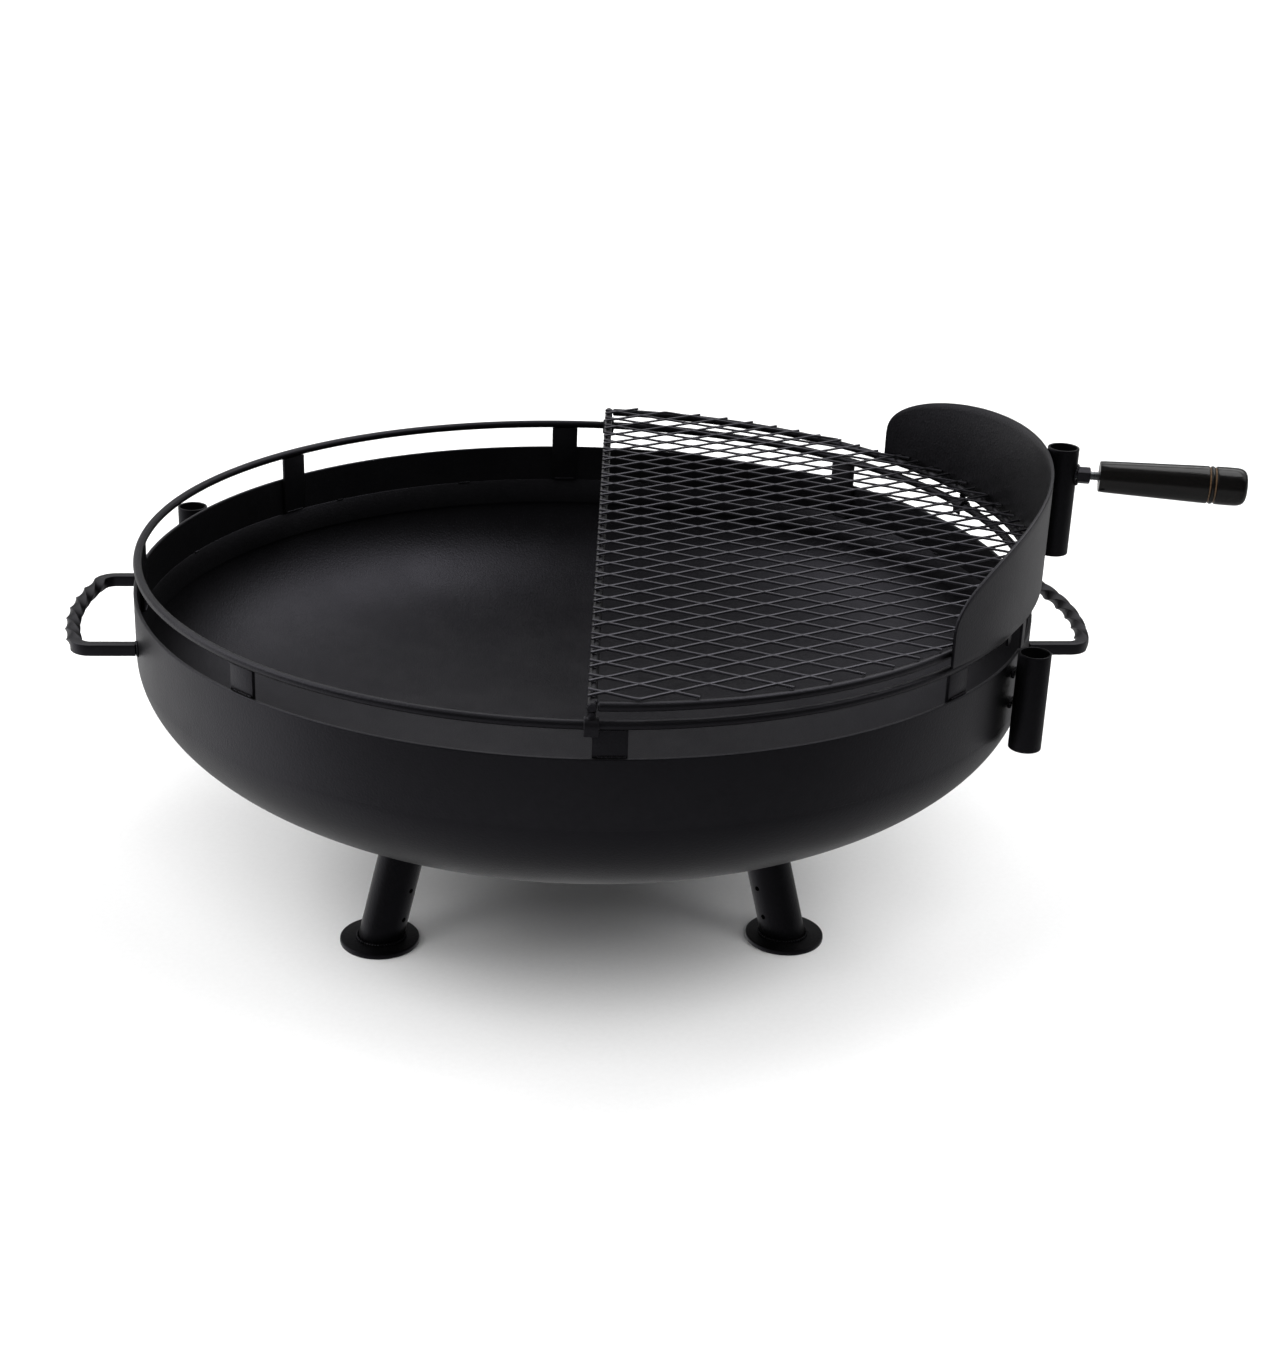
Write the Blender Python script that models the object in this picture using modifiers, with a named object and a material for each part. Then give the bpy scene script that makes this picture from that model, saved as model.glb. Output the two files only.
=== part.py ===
"""Fire bowl on three legs, with a half-moon grill that turns on a rail ring above the rim.

Metres, +Z up, standing on Z = 0. The bowl's axis is vertical, through BOWL_CENTRE. The carry handles lie
along X, and the side with two of the legs faces -Y. The origin is under the middle of the whole object's box.
"""

import math

import bmesh
import bpy
from mathutils import Matrix

# Whole object
BOWL_CENTRE = (-0.0548, 0.0007, 0.0)  # the bowl's axis; the clamp handle reaches out further on one side
GAP = 0.0003  # between pieces that touch or are welded together
ROUND_STEPS = 72  # facets round the bowl
TUBE_STEPS = 24  # facets round the tubes and the grip
ROD_STEPS = 12
MERGE = 0.00001

# Bowl: rolled band over a dished bottom
BOWL_RADIUS = 0.381
RIM_Z = 0.302
BAND_HEIGHT = 0.0555
BAND_WALL = 0.003
DISH_WALL = 0.0025
DISH_DEPTH = 0.1226  # from the seam to the lowest point
DISH_SIDE_POWER = 0.65  # how soft the knuckle is
DISH_CROWN_POWER = 1.1
DISH_POINTS = 9
LAP_HEIGHT = 0.021  # the dish's upper edge, stepped in behind the band

# Rail ring and its tabs
RAIL_RADIUS = 0.3764
RAIL_ROD = 0.0036
RAIL_ROD_STEPS = 8
RAIL_Z = 0.3266
TAB_ANGLES = (0.0, 44.3, 89.9, 135.2, 180.0, -135.9, -90.9, -45.0)  # tacked on by eye
TAB_WIDTH = 0.0254
TAB_THICK = 0.003
TAB_BOTTOM_Z = RIM_Z - 0.033

# Carry handles: square bar in a wide U with a twisted, bowed span
BAR_SIDE = 0.0095
HANDLE_Z = RIM_Z - 0.0375
HANDLE_HALF_WIDTH = 0.0817
HANDLE_REACH = 0.4337  # centreline of the bowed span at its middle, from the bowl's axis
HANDLE_BOW = 0.25
HANDLE_CORNER = 0.014
HANDLE_CORNER_STEPS = 6
QUARTER_TWISTS = 6
HANDLE_ANGLES = {"right": 0.9, "left": 180.4}
TWIST_POINTS = 40

# Post sockets and the clamp sleeve, cut from one tube size
TUBE_RADIUS = 0.0133
TUBE_WALL = 0.002
SOCKET_LENGTH = 0.0823
SOCKETS = {"front": (-30.0, RIM_Z + 0.008), "back": (153.0, RIM_Z - 0.002)}  # angle, height of the top
SPACER_SIZE = (0.0025, 0.012, 0.006)
SPACER_DEPTHS = {"upper": 0.020, "lower": 0.046}  # below the socket's top

# Legs
LEG_ANGLES = (-150.0, -30.0, 90.0)
LEG_RADIUS = 0.0193
LEG_WALL = 0.002
LEG_LEAN = math.radians(15.6)
LEG_CUT_FROM = -0.02  # the plain tube's ends, before the ground and the dish cut it
LEG_CUT_TO = 0.2
GROUND_CUT_SIZE = (1.0, 1.0, 0.1)
FOOT_CENTRE = 0.204
FOOT_RADIUS = 0.0342
FOOT_THICK = 0.005
FOOT_BEVEL = 0.001
FOOT_STEPS = 32
LEG_HOLE_RADIUS = 0.0023
LEG_HOLE_STEPS = 10
LEG_HOLE_HEIGHTS = (0.0265, 0.0525)
LEG_HOLE_SIDES = (-110.0, 110.0)

# Half-moon grill
GRILL_TURN = math.radians(-4.9)
FRAME_ROD = 0.0036
FRAME_Z = RAIL_Z + 0.014
STRAIGHT_X = 0.0127  # centreline of the straight rod, from the bowl's axis
ARC_END_X = 0.0169
ARC_POINTS = 41
MESH_Z = FRAME_Z + FRAME_ROD + GAP
MESH_THICK = 0.003
MESH_RADIUS = 0.3770
MESH_EDGE_X = 0.0095
MESH_BORDER = 0.004
MESH_LONG = 0.049
MESH_SHORT = 0.02675
MESH_SHEAR = 0.1  # how far a row climbs along the grill's X axis
MESH_START_X = 0.0209  # centre of one opening
MESH_START_Y = -0.0011
OPENING_LONG = 0.0215  # half lengths of an opening
OPENING_SHORT = 0.0115
SMALLEST_OPENING = 0.00004  # square metres
MESH_ARC_POINTS = 40
MESH_TO_GUARD = math.radians(42.5)  # half angle over which the panel reaches out to the guard

# Saddles that straddle the rail
SADDLE_WIDTH = 0.0106
SADDLE_GAP = 0.0043
SADDLE_STRAP = 0.002
SADDLE_ARCH_Z = -0.0004  # centre of the arch, from the rail's centre
SADDLE_NECK = 0.003
SADDLE_ARC_STEPS = 8
SADDLES = ((-88.07, -0.007), (-22.5, -0.0205), (24.0, -0.007), (88.07, -0.007))  # angle, foot of the prongs

# Wind guard
GUARD_RADIUS = 0.3833
GUARD_THICK = 0.0025
GUARD_HALF_LENGTH = 0.2896  # along the curve, at the sheet's middle
GUARD_BOTTOM_Z = RAIL_Z + 0.008
GUARD_SHOULDER_Z = RAIL_Z + 0.0344  # where the straight ends go over into the curved top
GUARD_TOP_Z = RAIL_Z + 0.1021
GUARD_TOP_POWER = 0.86  # an ellipse would have 1
GUARD_TOP_STEPS = 16
GUARD_TURN = math.radians(-0.4)
GUARD_TILT = math.radians(0.35)  # its far end sits a little higher

# Clamp
SLEEVE_RADIUS = GUARD_RADIUS + GUARD_THICK + GAP + TUBE_RADIUS
SLEEVE_TOP_Z = RAIL_Z + 0.1038
SLEEVE_LENGTH = 0.0936
CLAMP_Z = RAIL_Z + 0.0805
CLAMP_TURN = math.radians(-8.1)  # the screw's direction, from the sleeve's radial
NUT_FLATS = 0.013
NUT_LENGTH = 0.011
STUD_RADIUS = 0.004
STUD_TIP = 0.0110
STUD_STEPS = 16
STUD_CLEARANCE = 0.0003
GRIP_START = 0.0320
GRIP_LENGTH = 0.122
GRIP_BORE_DEPTH = 0.026
GRIP_PROFILE = (  # distance from the inner end, radius
    (0.0, 0.0118),
    (0.0015, 0.0130),
    (0.040, 0.0144),
    (0.080, 0.0156),
    (0.089, 0.0158),
    (0.0903, 0.0148),
    (0.0916, 0.0158),
    (0.0940, 0.0158),
    (0.0953, 0.0148),
    (0.0966, 0.0159),
    (0.112, 0.0160),
    (0.1185, 0.0146),
    (0.1215, 0.0100),
)

COLLECTION_NAME = "fire_bowl_with_half_moon_grill"


def clear_scene():
    for obj in list(bpy.data.objects):
        bpy.data.objects.remove(obj, do_unlink=True)


def make_collection(name):
    collection = bpy.data.collections.new(name)
    bpy.context.scene.collection.children.link(collection)
    return collection


def make_material(name, color, roughness, metallic):
    material = bpy.data.materials.new(name)
    material.use_nodes = True
    shader = material.node_tree.nodes["Principled BSDF"]
    shader.inputs["Base Color"].default_value = (*color, 1.0)
    shader.inputs["Roughness"].default_value = roughness
    shader.inputs["Metallic"].default_value = metallic
    return material


def powder_coat(name):
    return make_material(name + "_coat", (0.018, 0.018, 0.020), 0.42, 0.0)


def make_empty(name, location=(0, 0, 0), turn=0.0, parent=None):
    empty = bpy.data.objects.new(name, None)
    empty.location = location
    empty.rotation_euler = (0, 0, turn)
    empty.parent = parent
    parts.objects.link(empty)
    return empty


def add_object(name, data, parent, material, location=(0, 0, 0), rotation=(0, 0, 0)):
    """Links one named sub-part with its own material."""
    obj = bpy.data.objects.new(name, data)
    obj.location = location
    obj.rotation_euler = rotation
    obj.parent = parent
    data.materials.append(material)
    parts.objects.link(obj)
    return obj


def add_cutter(name, data, parent=None, location=(0, 0, 0), rotation=(0, 0, 0)):
    obj = bpy.data.objects.new(name, data)
    obj.location = location
    obj.rotation_euler = rotation
    obj.parent = parent
    obj.hide_render = True
    obj.display_type = "WIRE"
    cutters.objects.link(obj)
    return obj


def profile_mesh(name, profile, closed):
    """The half section of a turned shape, in the XZ plane."""
    count = len(profile)
    edges = [(i, i + 1) for i in range(count - 1)]
    if closed:
        edges.append((count - 1, 0))
    mesh = bpy.data.meshes.new(name)
    mesh.from_pydata([(r, 0, z) for r, z in profile], edges, [])
    return mesh


def add_screw(obj, steps):
    screw = obj.modifiers.new("turn", "SCREW")
    screw.steps = steps
    screw.render_steps = steps
    screw.use_merge_vertices = True
    screw.merge_threshold = MERGE
    screw.use_smooth_shade = True


def turned(name, profile, steps, parent, material, closed=False, location=(0, 0, 0), rotation=(0, 0, 0)):
    obj = add_object(name, profile_mesh(name, profile, closed), parent, material, location, rotation)
    add_screw(obj, steps)
    return obj


def tube_profile(radius, wall, bottom, top):
    return [(radius, top), (radius, bottom), (radius - wall, bottom), (radius - wall, top)]


def cylinder_mesh(name, radius, low, high, segments, axis="Z"):
    """A closed cylinder along a local axis, from low to high."""
    mesh = bpy.data.meshes.new(name)
    bm = bmesh.new()
    bmesh.ops.create_cone(
        bm,
        cap_ends=True,
        segments=segments,
        radius1=radius,
        radius2=radius,
        depth=high - low,
        matrix=Matrix.Translation((0, 0, (low + high) / 2)),
    )
    if axis == "X":
        bmesh.ops.rotate(bm, verts=bm.verts, matrix=Matrix.Rotation(math.pi / 2, 3, "Y"))
    bm.to_mesh(mesh)
    bm.free()
    mesh.shade_smooth()
    mesh.set_sharp_from_angle(angle=math.radians(40))
    return mesh


def box_mesh(name, size):
    """A box of the given size, centred on its origin."""
    mesh = bpy.data.meshes.new(name)
    bm = bmesh.new()
    bmesh.ops.create_cube(bm, size=1.0)
    bmesh.ops.scale(bm, vec=size, verts=bm.verts)
    bm.to_mesh(mesh)
    bm.free()
    return mesh


def add_boolean(obj, other, operation="DIFFERENCE"):
    modifier = obj.modifiers.new(operation.lower() + "_" + other.name, "BOOLEAN")
    modifier.operation = operation
    modifier.object = other
    modifier.solver = "EXACT"


def add_bevel(obj, width):
    bevel = obj.modifiers.new("edges", "BEVEL")
    bevel.width = width
    bevel.segments = 1
    bevel.limit_method = "ANGLE"
    bevel.angle_limit = math.radians(60)


def bar_curve(name, points, radius, resolution, tilts=None):
    """A bar along a run of points, with filled ends."""
    curve = bpy.data.curves.new(name, "CURVE")
    curve.dimensions = "3D"
    curve.twist_mode = "Z_UP"
    curve.bevel_depth = radius
    curve.bevel_resolution = resolution
    curve.use_fill_caps = True
    spline = curve.splines.new("POLY")
    spline.points.add(len(points) - 1)
    for index, (x, y, z) in enumerate(points):
        spline.points[index].co = (x, y, z, 1)
        spline.points[index].tilt = tilts[index] if tilts else 0.0
    return curve


def plate_curve(name, outlines, thickness):
    """A flat plate from closed outlines; the ones inside the first are holes."""
    curve = bpy.data.curves.new(name, "CURVE")
    curve.dimensions = "2D"
    curve.fill_mode = "BOTH"
    curve.extrude = thickness / 2
    for outline in outlines:
        spline = curve.splines.new("POLY")
        spline.points.add(len(outline) - 1)
        for point, (x, y) in zip(spline.points, outline):
            point.co = (x, y, 0, 1)
        spline.use_cyclic_u = True
    return curve


def curve_to_mesh(name, curve):
    """A closed mesh of a curve, so that a Boolean can take it."""
    guide = bpy.data.objects.new(name + "_guide", curve)
    parts.objects.link(guide)
    graph = bpy.context.evaluated_depsgraph_get()
    mesh = bpy.data.meshes.new_from_object(guide.evaluated_get(graph))
    mesh.name = name
    bpy.data.objects.remove(guide, do_unlink=True)
    bm = bmesh.new()
    bm.from_mesh(mesh)
    bmesh.ops.remove_doubles(bm, verts=bm.verts, dist=MERGE)
    bmesh.ops.recalc_face_normals(bm, faces=bm.faces)
    bm.to_mesh(mesh)
    bm.free()
    return mesh


def dish_point(turn, offset=0.0):
    """Radius and height on the dish's outer curve, or offset inwards along its normal."""
    radius = BOWL_RADIUS * math.cos(turn) ** DISH_SIDE_POWER
    drop = DISH_DEPTH * math.sin(turn) ** DISH_CROWN_POWER
    if offset:
        step = 0.001
        before = dish_point(max(turn - step, 0.0))
        after = dish_point(min(turn + step, math.pi / 2))
        along = (after[0] - before[0], after[1] - before[1])
        length = math.hypot(*along)
        radius += along[1] / length * offset
        return max(radius, 0.0), seam_z - drop - along[0] / length * offset
    return radius, seam_z - drop


def dish_curve(offset=0.0):
    """Points down the dish from its side to its axis."""
    turns = [math.pi / 2 * i / DISH_POINTS for i in range(1, DISH_POINTS)]
    lowest = seam_z - DISH_DEPTH + offset
    return [dish_point(turn, offset) for turn in turns] + [(0.0, lowest)]


def make_bowl(bowl):
    band = tube_profile(BOWL_RADIUS, BAND_WALL, seam_z, RIM_Z)
    turned("rim_band", band, ROUND_STEPS, bowl, powder_coat("rim_band"), closed=True)

    lap_radius = BOWL_RADIUS - BAND_WALL - GAP
    lap_top = seam_z + LAP_HEIGHT
    inner = [
        (lap_radius - DISH_WALL, lap_top),
        (lap_radius - DISH_WALL, seam_z - DISH_WALL),
    ]
    outer = [(lap_radius, lap_top), (lap_radius, seam_z - GAP), (BOWL_RADIUS, seam_z - GAP)]
    profile = list(reversed(inner + dish_curve(DISH_WALL))) + outer + dish_curve()
    turned("bowl_dish", profile, ROUND_STEPS, bowl, powder_coat("bowl_dish"))


def make_rail(bowl):
    bpy.ops.mesh.primitive_torus_add(
        major_segments=ROUND_STEPS,
        minor_segments=RAIL_ROD_STEPS,
        major_radius=RAIL_RADIUS,
        minor_radius=RAIL_ROD,
    )
    ring = bpy.context.active_object
    mesh = ring.data
    bpy.data.objects.remove(ring, do_unlink=True)
    mesh.shade_smooth()
    add_object("rail_ring", mesh, bowl, powder_coat("rail_ring"), location=(0, 0, RAIL_Z))

    top = RAIL_Z - RAIL_ROD - GAP
    size = (TAB_THICK, TAB_WIDTH, top - TAB_BOTTOM_Z)
    outer_face = (BOWL_RADIUS - BAND_WALL) * math.cos(math.pi / ROUND_STEPS) - GAP
    for index, angle in enumerate(TAB_ANGLES, start=1):
        name = f"rail_tab_{index}"
        around = make_empty(name + "_place", turn=math.radians(angle), parent=bowl)
        place = (outer_face - TAB_THICK / 2, 0, (top + TAB_BOTTOM_Z) / 2)
        add_object(name, box_mesh(name, size), around, powder_coat(name), location=place)


def handle_path():
    """Centreline of a carry handle and how far its bar is turned at each point."""
    bow_x = HANDLE_REACH - HANDLE_BOW
    fillet_y = HANDLE_HALF_WIDTH - HANDLE_CORNER
    spread = HANDLE_BOW - HANDLE_CORNER
    fillet_x = bow_x + math.sqrt(spread**2 - fillet_y**2)
    bow_angle = math.asin(fillet_y / spread)

    inner_end = math.sqrt(BOWL_RADIUS**2 - (HANDLE_HALF_WIDTH - BAR_SIDE / 2) ** 2) + GAP
    points = [(inner_end, -HANDLE_HALF_WIDTH, 0)]
    corner = []
    for step in range(HANDLE_CORNER_STEPS + 1):
        angle = -math.pi / 2 + (math.pi / 2 - bow_angle) * step / HANDLE_CORNER_STEPS
        x = fillet_x + HANDLE_CORNER * math.cos(angle)
        y = -fillet_y + HANDLE_CORNER * math.sin(angle)
        corner.append((x, y, 0))
    points += corner[:-1]
    tilts = [math.pi / 4] * len(points)
    for step in range(TWIST_POINTS + 1):
        share = step / TWIST_POINTS
        angle = -bow_angle + 2 * bow_angle * share
        points.append((bow_x + HANDLE_BOW * math.cos(angle), HANDLE_BOW * math.sin(angle), 0))
        tilts.append(math.pi / 4 + QUARTER_TWISTS * math.pi / 2 * share)
    last = tilts[-1]
    points += [(x, -y, z) for x, y, z in reversed(corner[:-1])]
    points.append((inner_end, HANDLE_HALF_WIDTH, 0))
    tilts += [last] * (len(points) - len(tilts))
    return points, tilts


def make_handles(bowl):
    points, tilts = handle_path()
    for side, angle in HANDLE_ANGLES.items():
        name = f"carry_handle_{side}"
        curve = bar_curve(name, points, BAR_SIDE / math.sqrt(2), 0, tilts)
        turn = (0, 0, math.radians(angle))
        add_object(name, curve, bowl, powder_coat(name), location=(0, 0, HANDLE_Z), rotation=turn)


def make_sockets(bowl):
    spacer_x = BOWL_RADIUS + GAP + SPACER_SIZE[0] / 2
    tube_x = BOWL_RADIUS + 2 * GAP + SPACER_SIZE[0] + TUBE_RADIUS
    for side, (angle, top) in SOCKETS.items():
        tube = tube_profile(TUBE_RADIUS, TUBE_WALL, top - SOCKET_LENGTH, top)
        around = make_empty(f"post_socket_{side}_place", turn=math.radians(angle), parent=bowl)
        name = f"post_socket_{side}"
        turned(name, tube, TUBE_STEPS, around, powder_coat(name), closed=True, location=(tube_x, 0, 0))
        for level, depth in SPACER_DEPTHS.items():
            name = f"socket_spacer_{side}_{level}"
            block = box_mesh(name, SPACER_SIZE)
            add_object(name, block, around, powder_coat(name), location=(spacer_x, 0, top - depth))


def make_legs(bowl):
    envelope = [(0.0, seam_z), (BOWL_RADIUS, seam_z), *dish_curve(-GAP)]
    dish_cutter = add_cutter("dish_cutter", profile_mesh("dish_cutter", envelope, False), bowl)
    add_screw(dish_cutter, ROUND_STEPS)
    ground_top = FOOT_THICK + GAP
    ground_cutter = add_cutter("ground_cutter", box_mesh("ground_cutter", GROUND_CUT_SIZE), bowl)
    ground_cutter.location.z = ground_top - GROUND_CUT_SIZE[2] / 2
    tube = tube_profile(LEG_RADIUS, LEG_WALL, LEG_CUT_FROM, LEG_CUT_TO)
    hole_reach = (LEG_RADIUS - 2 * LEG_WALL, LEG_RADIUS + LEG_WALL)
    hole = cylinder_mesh("leg_hole", LEG_HOLE_RADIUS, *hole_reach, LEG_HOLE_STEPS, "X")
    for index, angle in enumerate(LEG_ANGLES, start=1):
        around = make_empty(f"leg_{index}_place", turn=math.radians(angle), parent=bowl)
        name = f"foot_disc_{index}"
        disc = cylinder_mesh(name, FOOT_RADIUS, 0.0, FOOT_THICK, FOOT_STEPS)
        foot = add_object(name, disc, around, powder_coat(name), location=(FOOT_CENTRE, 0, 0))
        add_bevel(foot, FOOT_BEVEL)

        name = f"leg_tube_{index}"
        lean = (0, -LEG_LEAN, 0)
        place = (FOOT_CENTRE, 0, 0)
        leg = turned(name, tube, TUBE_STEPS, around, powder_coat(name), closed=True, location=place, rotation=lean)
        add_boolean(leg, dish_cutter)
        add_boolean(leg, ground_cutter)
        for height in LEG_HOLE_HEIGHTS:
            for side in LEG_HOLE_SIDES:
                cutter = add_cutter(f"{name}_hole_{height * 1000:.0f}_{side:.0f}", hole, leg)
                cutter.location.z = height / math.cos(LEG_LEAN)
                cutter.rotation_euler.z = math.radians(side)
                add_boolean(leg, cutter)


def arc(radius, start, end, count):
    """Points on an arc about the grill's axis, angles in radians."""
    angles = [start + (end - start) * i / (count - 1) for i in range(count)]
    return [(radius * math.cos(a), radius * math.sin(a)) for a in angles]


def half_moon(edge_x, radius, count):
    """Outline of the half disc between a straight edge and an arc, anticlockwise."""
    reach = math.acos(edge_x / radius)
    return arc(radius, -reach, reach, count)


def clipped(polygon, outline):
    """The part of a convex polygon inside a convex anticlockwise outline."""
    for (ax, ay), (bx, by) in zip(outline, outline[1:] + outline[:1]):
        kept = []
        sides = [(bx - ax) * (y - ay) - (by - ay) * (x - ax) for x, y in polygon]
        for index, (point, side) in enumerate(zip(polygon, sides)):
            before, side_before = polygon[index - 1], sides[index - 1]
            if side * side_before < 0:
                share = side_before / (side_before - side)
                kept.append(tuple(p + (q - p) * share for p, q in zip(before, point)))
            if side >= 0:
                kept.append(point)
        polygon = kept
        if len(polygon) < 3:
            return []
    return polygon


def area(polygon):
    pairs = zip(polygon, polygon[1:] + polygon[:1])
    return abs(sum(ax * by - bx * ay for (ax, ay), (bx, by) in pairs)) / 2


def mesh_openings():
    """The diamonds of the expanded metal, cut off at the panel's edges."""
    window = half_moon(MESH_EDGE_X + MESH_BORDER, MESH_RADIUS - MESH_BORDER, MESH_ARC_POINTS)
    columns = int(MESH_RADIUS / (MESH_LONG / 2)) + 2
    rows = int(MESH_RADIUS * (1 + MESH_SHEAR) / MESH_SHORT) + 2
    openings = []
    for column in range(-2, columns):
        for row in range(-rows, rows):
            across = MESH_LONG / 2 * column
            x = MESH_START_X + across
            y = MESH_START_Y + MESH_SHEAR * across + MESH_SHORT * (row + 0.5 * (column % 2))
            diamond = [
                (x - OPENING_LONG, y - MESH_SHEAR * OPENING_LONG),
                (x, y - OPENING_SHORT),
                (x + OPENING_LONG, y + MESH_SHEAR * OPENING_LONG),
                (x, y + OPENING_SHORT),
            ]
            opening = clipped(diamond, window)
            if opening and area(opening) > SMALLEST_OPENING:
                openings.append(opening)
    return openings


def make_grill(grill):
    reach = math.sqrt((RAIL_RADIUS + FRAME_ROD) ** 2 - STRAIGHT_X**2)
    name = "grill_straight_rod"
    rod = cylinder_mesh(name, FRAME_ROD, -reach, reach, ROD_STEPS)
    add_object(name, rod, grill, powder_coat(name), (STRAIGHT_X, 0, FRAME_Z), (math.pi / 2, 0, 0))

    end = math.acos(ARC_END_X / RAIL_RADIUS)
    points = [(x, y, 0) for x, y in arc(RAIL_RADIUS, -end, end, ARC_POINTS)]
    curve = bar_curve("grill_arc_rod", points, FRAME_ROD, 2)
    add_object("grill_arc_rod", curve, grill, powder_coat("grill_arc_rod"), location=(0, 0, FRAME_Z))

    half_angle = math.acos(MESH_EDGE_X / MESH_RADIUS)
    outline = arc(MESH_RADIUS, -half_angle, -MESH_TO_GUARD, MESH_ARC_POINTS // 4)
    outline += arc(GUARD_RADIUS - 2 * GAP, -MESH_TO_GUARD, MESH_TO_GUARD, MESH_ARC_POINTS // 2)
    outline += arc(MESH_RADIUS, MESH_TO_GUARD, half_angle, MESH_ARC_POINTS // 4)
    panel = plate_curve("grill_mesh", [outline, *mesh_openings()], MESH_THICK)
    place = (0, 0, MESH_Z + MESH_THICK / 2)
    add_object("grill_mesh", panel, grill, powder_coat("grill_mesh"), location=place)


def saddle_outline(bottom):
    """An inverted U in the radial plane, as radial offset and height from the rail's centre."""
    outer = SADDLE_GAP + SADDLE_STRAP
    turns = [math.pi * i / SADDLE_ARC_STEPS for i in range(SADDLE_ARC_STEPS + 1)]
    over = [(outer * math.cos(t), SADDLE_ARCH_Z + outer * math.sin(t)) for t in turns]
    under = [(SADDLE_GAP * math.cos(t), SADDLE_ARCH_Z + SADDLE_GAP * math.sin(t)) for t in turns]
    feet = [(-outer, bottom), (-SADDLE_GAP, bottom)]
    other_feet = [(SADDLE_GAP, bottom), (outer, bottom)]
    return over + feet + list(reversed(under)) + other_feet


def make_saddles(grill):
    neck_low = SADDLE_ARCH_Z + SADDLE_GAP + SADDLE_STRAP / 2
    neck_high = FRAME_Z - RAIL_Z - FRAME_ROD - GAP
    for index, (angle, bottom) in enumerate(SADDLES, start=1):
        name = f"grill_saddle_{index}"
        around = make_empty(name + "_place", turn=math.radians(angle), parent=grill)
        strap = curve_to_mesh(name, plate_curve(name + "_outline", [saddle_outline(bottom)], SADDLE_WIDTH))
        place = (RAIL_RADIUS, 0, RAIL_Z)
        saddle = add_object(name, strap, around, powder_coat(name), place, (math.pi / 2, 0, 0))
        neck = cylinder_mesh(name + "_neck", SADDLE_NECK, neck_low, neck_high, ROD_STEPS)
        neck_part = add_cutter(name + "_neck", neck, around, place)
        add_boolean(saddle, neck_part, "UNION")


def guard_top_outline():
    """Pairs of length along the guard and height of its top edge, from one end to the middle."""
    rise = GUARD_TOP_Z - GUARD_SHOULDER_Z
    half = []
    for step in range(GUARD_TOP_STEPS + 1):
        turn = math.pi / 2 * step / GUARD_TOP_STEPS
        height = GUARD_SHOULDER_Z + rise * math.sin(turn) ** GUARD_TOP_POWER
        half.append((GUARD_HALF_LENGTH * math.cos(turn), height))
    return half


def make_guard(grill):
    half = guard_top_outline()
    outline = [(-length, top) for length, top in half]
    outline += [(length, top) for length, top in reversed(half[:-1])]
    columns = len(outline) - 1
    mesh = bpy.data.meshes.new("wind_guard")
    bm = bmesh.new()
    bmesh.ops.create_grid(bm, x_segments=columns, y_segments=2, size=0.5)
    bend = GUARD_RADIUS + GUARD_THICK / 2
    for vert in bm.verts:
        length, top = outline[round((vert.co.x + 0.5) * columns)]
        height = (top - GUARD_BOTTOM_Z) * (vert.co.y + 0.5)
        angle = length / bend
        vert.co = (GUARD_RADIUS * math.cos(angle), GUARD_RADIUS * math.sin(angle), height)
    bm.to_mesh(mesh)
    bm.free()
    mesh.shade_smooth()
    turn = (GUARD_TILT, 0, GUARD_TURN)
    guard = add_object("wind_guard", mesh, grill, powder_coat("wind_guard"), (0, 0, GUARD_BOTTOM_Z), turn)
    sheet = guard.modifiers.new("sheet", "SOLIDIFY")
    sheet.thickness = GUARD_THICK
    sheet.offset = 1.0


def make_clamp(grill):
    clamp = make_empty("clamp_axis", (SLEEVE_RADIUS, 0, CLAMP_Z), CLAMP_TURN, grill)
    tube = tube_profile(TUBE_RADIUS, TUBE_WALL, SLEEVE_TOP_Z - SLEEVE_LENGTH, SLEEVE_TOP_Z)
    sleeve_coat = powder_coat("clamp_sleeve")
    sleeve = turned("clamp_sleeve", tube, TUBE_STEPS, grill, sleeve_coat, closed=True, location=(SLEEVE_RADIUS, 0, 0))
    hole_radius = STUD_RADIUS + STUD_CLEARANCE
    nut_start = TUBE_RADIUS + GAP
    hole = cylinder_mesh("screw_hole", hole_radius, TUBE_RADIUS / 2, nut_start + NUT_LENGTH * 1.5, STUD_STEPS, "X")
    hole_cutter = add_cutter("screw_hole", hole, clamp)
    add_boolean(sleeve, hole_cutter)

    corner_radius = NUT_FLATS / math.sqrt(3)
    nut = cylinder_mesh("clamp_nut", corner_radius, nut_start, nut_start + NUT_LENGTH, 6, "X")
    add_boolean(add_object("clamp_nut", nut, clamp, powder_coat("clamp_nut")), hole_cutter)

    zinc = make_material("clamp_stud_zinc", (0.62, 0.63, 0.64), 0.32, 1.0)
    stud_end = GRIP_START + GRIP_BORE_DEPTH - 2 * GAP
    stud = cylinder_mesh("clamp_stud", STUD_RADIUS, STUD_TIP, stud_end, STUD_STEPS, "X")
    add_object("clamp_stud", stud, clamp, zinc)

    lacquer = make_material("clamp_grip_lacquer", (0.016, 0.014, 0.013), 0.12, 0.0)
    bore = STUD_RADIUS + STUD_CLEARANCE
    bottom = [(0.0, -GRIP_BORE_DEPTH), (bore, -GRIP_BORE_DEPTH), (bore, 0.0)]
    outside = [(radius, -distance) for distance, radius in GRIP_PROFILE]
    end = [(0.0, -GRIP_LENGTH)]
    profile = bottom + outside + end
    lie_down = (0, -math.pi / 2, 0)
    turned("clamp_grip", profile, TUBE_STEPS, clamp, lacquer, location=(GRIP_START, 0, 0), rotation=lie_down)


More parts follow.
